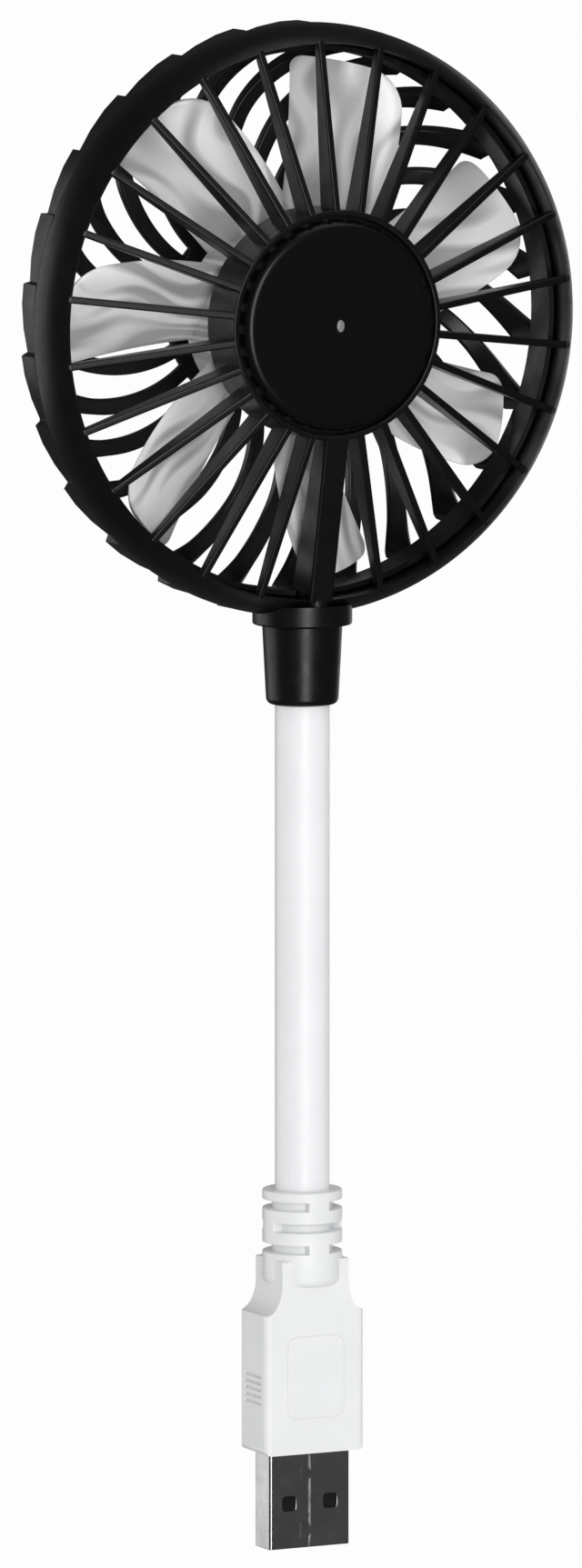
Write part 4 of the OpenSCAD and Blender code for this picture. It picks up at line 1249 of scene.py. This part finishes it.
@dataclass
class RearGuard(Assembly):
    """The back of the cage: swirled ribs on a shallow dome, and a clip-in wall."""

    ribs: int = 26
    hub_radius: float = 12.8
    hub_back: float = 15.6
    shoulder_back: float = 14.5
    shoulder_radius: float = 12.4
    ring_out: float = 38.5
    ring_in: float = 37.0
    ring_back: float = -4.2
    split: float = -0.2
    pad_height: float = 1.0
    pad_phase: float = 0.15
    pad_round: float = 0.22
    pad_steps: tuple[Point2, ...] = ((0.02, 0.1), (0.35, 0.55), (0.7, 0.9), (0.98, 1.0))
    crown_power: float = 1.46
    swirl_centre: Point2 = (13.7, -19.6)
    swirl_radius: float = 19.6
    swirl_start: float = 11.6
    swirl_fall: float = 86.0
    swirl_round: float = 0.3
    swirl_width: float = 1.8
    swirl_flare: float = 0.6
    swirl_phase: float = -2.0
    # A rib's depth, how far it is sunk into the dome, and how far it stays inside the wall.
    depth: float = 1.5
    sunk: float = 0.02
    wall_gap: float = 0.03
    notch: float = 3.9
    # The lip that clips inside the front rim, as (radius, forward).
    lip_outline: Outline = ((35.9, -3.2), (37.05, -3.2), (37.05, -0.3), (36.8, -0.3), (36.8, 1.8),
                            (36.6, 2.0), (35.9, 2.0))

    @property
    def flat(self) -> float:
        """Gives the radius where the dome's rounded shoulder starts."""
        return self.ring_out - self.shoulder_radius

    def dome(self, radius: float) -> tuple[float, Point2]:
        """Gives the dome's outside and the way into its wall.

        Args:
            radius: Distance from the axis.

        Returns:
            The height there, and the inward direction as (radial, forward).
        """
        flat = self.flat
        if radius <= flat:
            rise = max(0.0, flat - radius) / (flat - self.hub_radius)
            crown = (self.hub_back - self.shoulder_back) * min(1.0, rise) ** self.crown_power
            return -self.shoulder_back - crown, (0.0, 1.0)
        centre = self.shoulder_radius - self.shoulder_back
        fall = math.sqrt(max(0.0, self.shoulder_radius ** 2 - (radius - flat) ** 2))
        return centre - fall, ((flat - radius) / self.shoulder_radius, fall / self.shoulder_radius)

    def swirl_point(self, across: float, deep: float, share: float) -> Point3:
        """Gives a point of the rib that the others are turned copies of.

        Args:
            across: Place across the rib, outwards from its arc's centre.
            deep: Place through the rib, inwards.
            share: Share of the way from the hub to the wall.

        Returns:
            The point in the head's axes.
        """
        cx, cy = self.swirl_centre
        reach, lean = math.hypot(cx, cy), math.atan2(cy, cx)
        straight = self.flat - self.swirl_start
        run = share * (straight + self.shoulder_radius * math.radians(self.swirl_fall))
        over = math.sin((run - straight) / self.shoulder_radius)
        radius = self.swirl_start + run if run < straight else self.flat + self.shoulder_radius * over
        cosine = (radius ** 2 - reach ** 2 - self.swirl_radius ** 2) / (2 * reach * self.swirl_radius)
        angle = lean + math.acos(max(-1.0, min(1.0, cosine)))
        if across < 0:
            across *= 1 + self.swirl_flare * max(0.0, math.cos(angle)) / (self.swirl_width / 2)
        out = self.swirl_radius + across
        x, y = cx + out * math.cos(angle), cy + out * math.sin(angle)
        drawn = math.hypot(x, y)
        held = min(drawn, self.ring_out - self.wall_gap)
        height, (inward, forward) = self.dome(held)
        deep += self.depth / 2 + self.sunk
        moved_to = held + deep * inward
        return x * moved_to / drawn, y * moved_to / drawn, height + deep * forward

    def swirl(self) -> Solid:
        """Bends one rib along its arc and down over the dome's shoulder."""
        section = rounded_box(self.swirl_width, self.depth, self.swirl_round, 3)
        return bent(rail(section, 44), self.swirl_point)

    def wall(self) -> Solid:
        """Raises the wall with the saw-tooth pads that grip the front rim.

        Returns:
            The wall.
        """
        pitch = 360 / self.ribs
        outline = []
        for k in range(self.ribs):
            for step, rise in self.pad_steps:
                turn = math.radians(90 - (k + self.pad_phase + step) * pitch)
                radius = self.ring_out + self.pad_height * rise
                outline.append((radius * math.cos(turn), radius * math.sin(turn)))
        wall = prism(outline[::-1], self.ring_back, self.split)
        soften(wall, self.pad_round, is_level, 2)
        return combined(wall, [rod(self.ring_in, *THROUGH, RIM_STEPS)], Cut.CARVE)

    def lip(self) -> Solid:
        """Turns the lip that clips inside the front rim, notched for the lead column."""
        gap = block((-self.notch / 2, -40, -0.3), (self.notch / 2, -30, 4))
        return combined(lathe(self.lip_outline, RIM_STEPS), [gap], Cut.CARVE)

    def build(self) -> None:
        """Builds and hands in the rear guard."""
        hub = rod(self.hub_radius, -self.hub_back, -self.hub_back + self.depth, 128)
        soften(hub, self.swirl_round)
        pitch = 360 / self.ribs
        ribs = copies(self.swirl(), [clock(k * pitch + self.swirl_phase) for k in range(self.ribs)])
        guard = combined(hub, [self.wall(), self.lip(), *ribs], Cut.JOIN)
        self.publish("cage_rear", guard, HEAD, "cage_black", ["head"], ["rear_guard"])


# ---------------------------------------------------------------- impeller


@dataclass
class Impeller(Assembly):
    """Seven broad swept blades moulded in one piece with their hub."""

    blades: int = 7
    phase: float = 24.0
    foot: float = 12.8
    tip: float = 34.7
    root_width: float = 11.0
    tip_width: float = 13.6
    axial: float = 3.9
    middle: float = -3.15
    camber: float = 0.6
    thickness: float = 1.1
    thin_edge: float = 0.02
    front_corner: float = 4.0
    rear_corner: float = 1.6
    sweep: float = 10.0
    # Share of the length by which a blade has its full width, and how its face looks.
    filled_out: float = 0.85
    facing: Point2 = (0.55, 0.8)
    tip_round: float = 0.3
    hub_round: float = 0.2
    # The hub with its web and the boss of the shaft's bush, and the room of the rotor.
    hub_outline: Outline = ((2.85, -6.55), (4.0, -6.55), (4.0, -5.35), (12.2, -5.35), (12.2, -7.8),
                            (13.4, -7.8), (13.4, 3.4), (12.4, 3.4), (12.4, -4.15), (2.85, -4.15))
    flow_radius_cm: float = 2.4

    def corner_cut(self, radius: float, corner: float) -> float:
        """Gives how much a tip corner of the given radius takes off the half width."""
        inset = corner - (self.tip - radius)
        return corner - math.sqrt(corner ** 2 - inset ** 2) if inset > 0 else 0.0

    def blade_point(self, across: float, face: float, share: float) -> Point3:
        """Gives a point of a blade that points up.

        Args:
            across: Place across the blade, from -1 to 1.
            face: 1 on the front face and -1 on the rear face.
            share: Share of the way from the foot to the tip.

        Returns:
            The point, with the fan's axis along z.
        """
        radius = self.foot + (self.tip - self.foot) * math.sin(math.pi / 2 * share)
        length = (radius - self.foot) / (self.tip - self.foot)
        growth = math.sin(math.pi / 2 * min(1.0, length / self.filled_out))
        full = (self.root_width + (self.tip_width - self.root_width) * growth) / 2
        half = full - self.corner_cut(radius, self.front_corner if across > 0 else self.rear_corner)
        chord = across * half / full
        rise = self.middle + chord * self.axial + self.camber * (0.5 - chord ** 2)
        thick = face * self.thickness / 2 * math.sqrt(max(self.thin_edge, 1 - across ** 6))
        turn = math.atan2(chord * full, radius) - math.radians(self.sweep * length)
        across_face, forward = self.facing
        return (radius * math.sin(turn) - across_face * thick * math.cos(turn),
                radius * math.cos(turn) + across_face * thick * math.sin(turn), rise + forward * thick)

    def blade(self) -> Solid:
        """Bends one blade from a flat rail and rounds its tip.

        Returns:
            The blade.
        """
        places = [math.sin(math.pi / 2 * i / 11) for i in range(-11, 12)]
        section = [(u, 1.0) for u in places] + [(u, -1.0) for u in reversed(places)]
        blade = bent(rail(section, 32), self.blade_point)
        return soften(blade, self.tip_round, where(lambda at: at.xy.length > self.tip - 0.6), angle=50)

    def hub(self) -> Solid:
        """Turns the hub with its web and the boss of the shaft's bush."""
        hub = lathe(self.hub_outline, 160)
        return soften(hub, self.hub_round, where(lambda at: at.xy.length > self.foot))

    def flow_map(self, piece: bpy.types.Object) -> None:
        """Lays the map that the streaks and their painted reflection bands follow, in centimetres round and along.

        Args:
            piece: The impeller, with its place in its mesh.
        """
        mesh = piece.data
        layer = mesh.uv_layers.new(name="flow")
        for face in mesh.polygons:
            first = None
            for corner in face.loop_indices:
                point = mesh.vertices[mesh.loops[corner].vertex_index].co - HEAD_CENTRE
                turn = math.atan2(point.x, point.z)
                first = turn if first is None else first
                turn += math.tau * round((first - turn) / math.tau)
                reach = math.hypot(point.x, point.z) / MM / 10
                layer.data[corner].uv = (turn * self.flow_radius_cm, reach)

    def build(self) -> None:
        """Builds and hands in the impeller."""
        turns = [math.radians(self.phase + k * 360 / self.blades) for k in range(self.blades)]
        blades = copies(self.blade(), [Matrix.Rotation(-turn, 4, "Z") for turn in turns])
        whole = combined(self.hub(), blades, Cut.JOIN)
        radius, web = self.hub_outline[-2]
        wheel = combined(whole, [rod(radius, web, THROUGH[1], 160)], Cut.CARVE)
        self.flow_map(self.publish("blade_wheel", wheel, HEAD, "blade_white", ["rotor"], ["impeller"]))


# ---------------------------------------------------------------- studio


@dataclass(frozen=True)
class SoftBox:
    """A lamp that faces the fan.

    Its azimuth is in degrees round from the fan's front, positive to its right, its
    elevation in degrees, its size in metres and its power in watts.
    """

    name: str
    azimuth: float
    elevation: float
    size: Point2
    power: float


@dataclass
class Studio:
    """White paper, soft boxes and the camera, in a room that gloss sees as dim."""

    camera_place: Point3 = (-0.82546, -1.64506, 0.3287)
    camera_aim: Point3 = (-0.00134, 0.00067, 0.10271)
    lens: float = 319.68
    sensor: float = 36.0
    # The paper: its height, half its width, and how much of it burns out for the camera.
    floor_height: float = -0.3
    paper_half: float = 12.0
    burn: float = 0.97
    # The room: the strength of its even light, and what gloss sees of it.
    fill: float = 0.46
    gloss_room: str = "#505050"
    # The lamps: their distance, and the height on the fan that they face.
    lamp_reach: float = 1.3
    lamp_aim: float = 0.11
    lamps: tuple[SoftBox, ...] = (SoftBox("key_soft_box", -15, 4, (0.42, 1.2), 10.5),
                                  SoftBox("left_soft_box", -135, 2, (1.1, 0.9), 3.6),
                                  SoftBox("right_soft_box", 128, 2, (0.5, 0.9), 1.0),
                                  SoftBox("top_soft_box", 40, 65, (0.8, 0.8), 2.0))

    def paper(self) -> bpy.types.Material:
        """Builds the floor's white paper, which burns out for the camera but for a faint shadow.

        Returns:
            The material.
        """
        material = bpy.data.materials.new("white_paper")
        tree = cleared(material)
        rays = add_node(tree, "ShaderNodeLightPath").outputs
        share = add_node(tree, "ShaderNodeMath", {"operation": "MULTIPLY"},
                         (rays["Is Camera Ray"], self.burn))
        shown = add_node(tree, "ShaderNodeBsdfDiffuse", Color=hex_colour("#f4f4f4")).outputs[0]
        for part, colour in ((share.outputs[0], "#ffffff"), (rays["Is Glossy Ray"], self.gloss_room)):
            even = add_node(tree, "ShaderNodeEmission", Color=hex_colour(colour), Strength=1.0).outputs[0]
            shown = add_node(tree, "ShaderNodeMixShader", None, (part, shown, even)).outputs[0]
        add_node(tree, "ShaderNodeOutputMaterial", Surface=shown)
        return material

    def floor(self) -> None:
        """Lays the floor."""
        bm = bmesh.new()
        bmesh.ops.create_grid(bm, x_segments=1, y_segments=1, size=self.paper_half,
                              matrix=Matrix.Translation((0, 0, self.floor_height)))
        mesh = bpy.data.meshes.new("studio_floor")
        bm.to_mesh(mesh)
        bm.free()
        mesh.materials.append(self.paper())
        floor = bpy.data.objects.new("studio_floor", mesh)
        bpy.context.scene.collection.objects.link(floor)

    def world(self) -> None:
        """Fills the room with even light that the camera sees as white and gloss as dim."""
        world = bpy.data.worlds.new("studio_room")
        bpy.context.scene.world = world
        tree = cleared(world)
        rays = add_node(tree, "ShaderNodeLightPath").outputs
        dim = add_node(tree, "ShaderNodeBackground", Color=hex_colour(self.gloss_room), Strength=1.0)
        shown = dim.outputs[0]
        for ray, strength in (("Is Diffuse Ray", self.fill), ("Is Transmission Ray", 1.0),
                              ("Is Camera Ray", 1.0)):
            even = add_node(tree, "ShaderNodeBackground", Color=hex_colour("#fefefe"),
                            Strength=strength).outputs[0]
            shown = add_node(tree, "ShaderNodeMixShader", None, (rays[ray], shown, even)).outputs[0]
        add_node(tree, "ShaderNodeOutputWorld", Surface=shown)

    def hang(self, box: SoftBox) -> None:
        """Hangs a soft box so that it faces the fan.

        Args:
            box: The soft box.
        """
        turn, tilt = math.radians(box.azimuth), math.radians(box.elevation)
        away = Vector((math.sin(turn) * math.cos(tilt), -math.cos(turn) * math.cos(tilt), math.sin(tilt)))
        light = bpy.data.lights.new(box.name, "AREA")
        light.shape = "RECTANGLE"
        light.size, light.size_y = box.size
        light.energy = box.power
        lamp = bpy.data.objects.new(box.name, light)
        lamp.location = away * self.lamp_reach + Vector((0, 0, self.lamp_aim))
        lamp.rotation_euler = (-away).to_track_quat("-Z", "Y").to_euler()
        bpy.context.scene.collection.objects.link(lamp)

    def camera(self) -> None:
        """Sets the camera on its stand, level and aimed at the stem."""
        lens = bpy.data.cameras.new("studio_camera")
        lens.lens, lens.sensor_width, lens.sensor_fit = self.lens, self.sensor, "AUTO"
        lens.clip_start, lens.clip_end = 0.05, 60
        stand = bpy.data.objects.new("studio_camera", lens)
        place = Vector(self.camera_place)
        stand.location = place
        stand.rotation_euler = (Vector(self.camera_aim) - place).to_track_quat("-Z", "Y").to_euler()
        bpy.context.scene.collection.objects.link(stand)
        bpy.context.scene.camera = stand

    def build(self) -> None:
        """Sets up the whole studio."""
        self.camera()
        self.floor()
        self.world()
        for box in self.lamps:
            self.hang(box)
        bpy.context.scene.view_settings.view_transform = "Standard"


# ---------------------------------------------------------------- the fan


def main() -> None:
    """Builds the studio and every sub-assembly in order."""
    logging.basicConfig(level=logging.INFO, format="%(name)s: %(message)s")
    Studio().build()
    finishes = Finishes(FINISHES)
    finishes.dress_frame()
    for kind in (UsbPlug, Gooseneck, Neck, RearGuard, Impeller, FrontGuard, HubCap):
        kind(finishes).build()


if __name__ == "__main__":
    main()
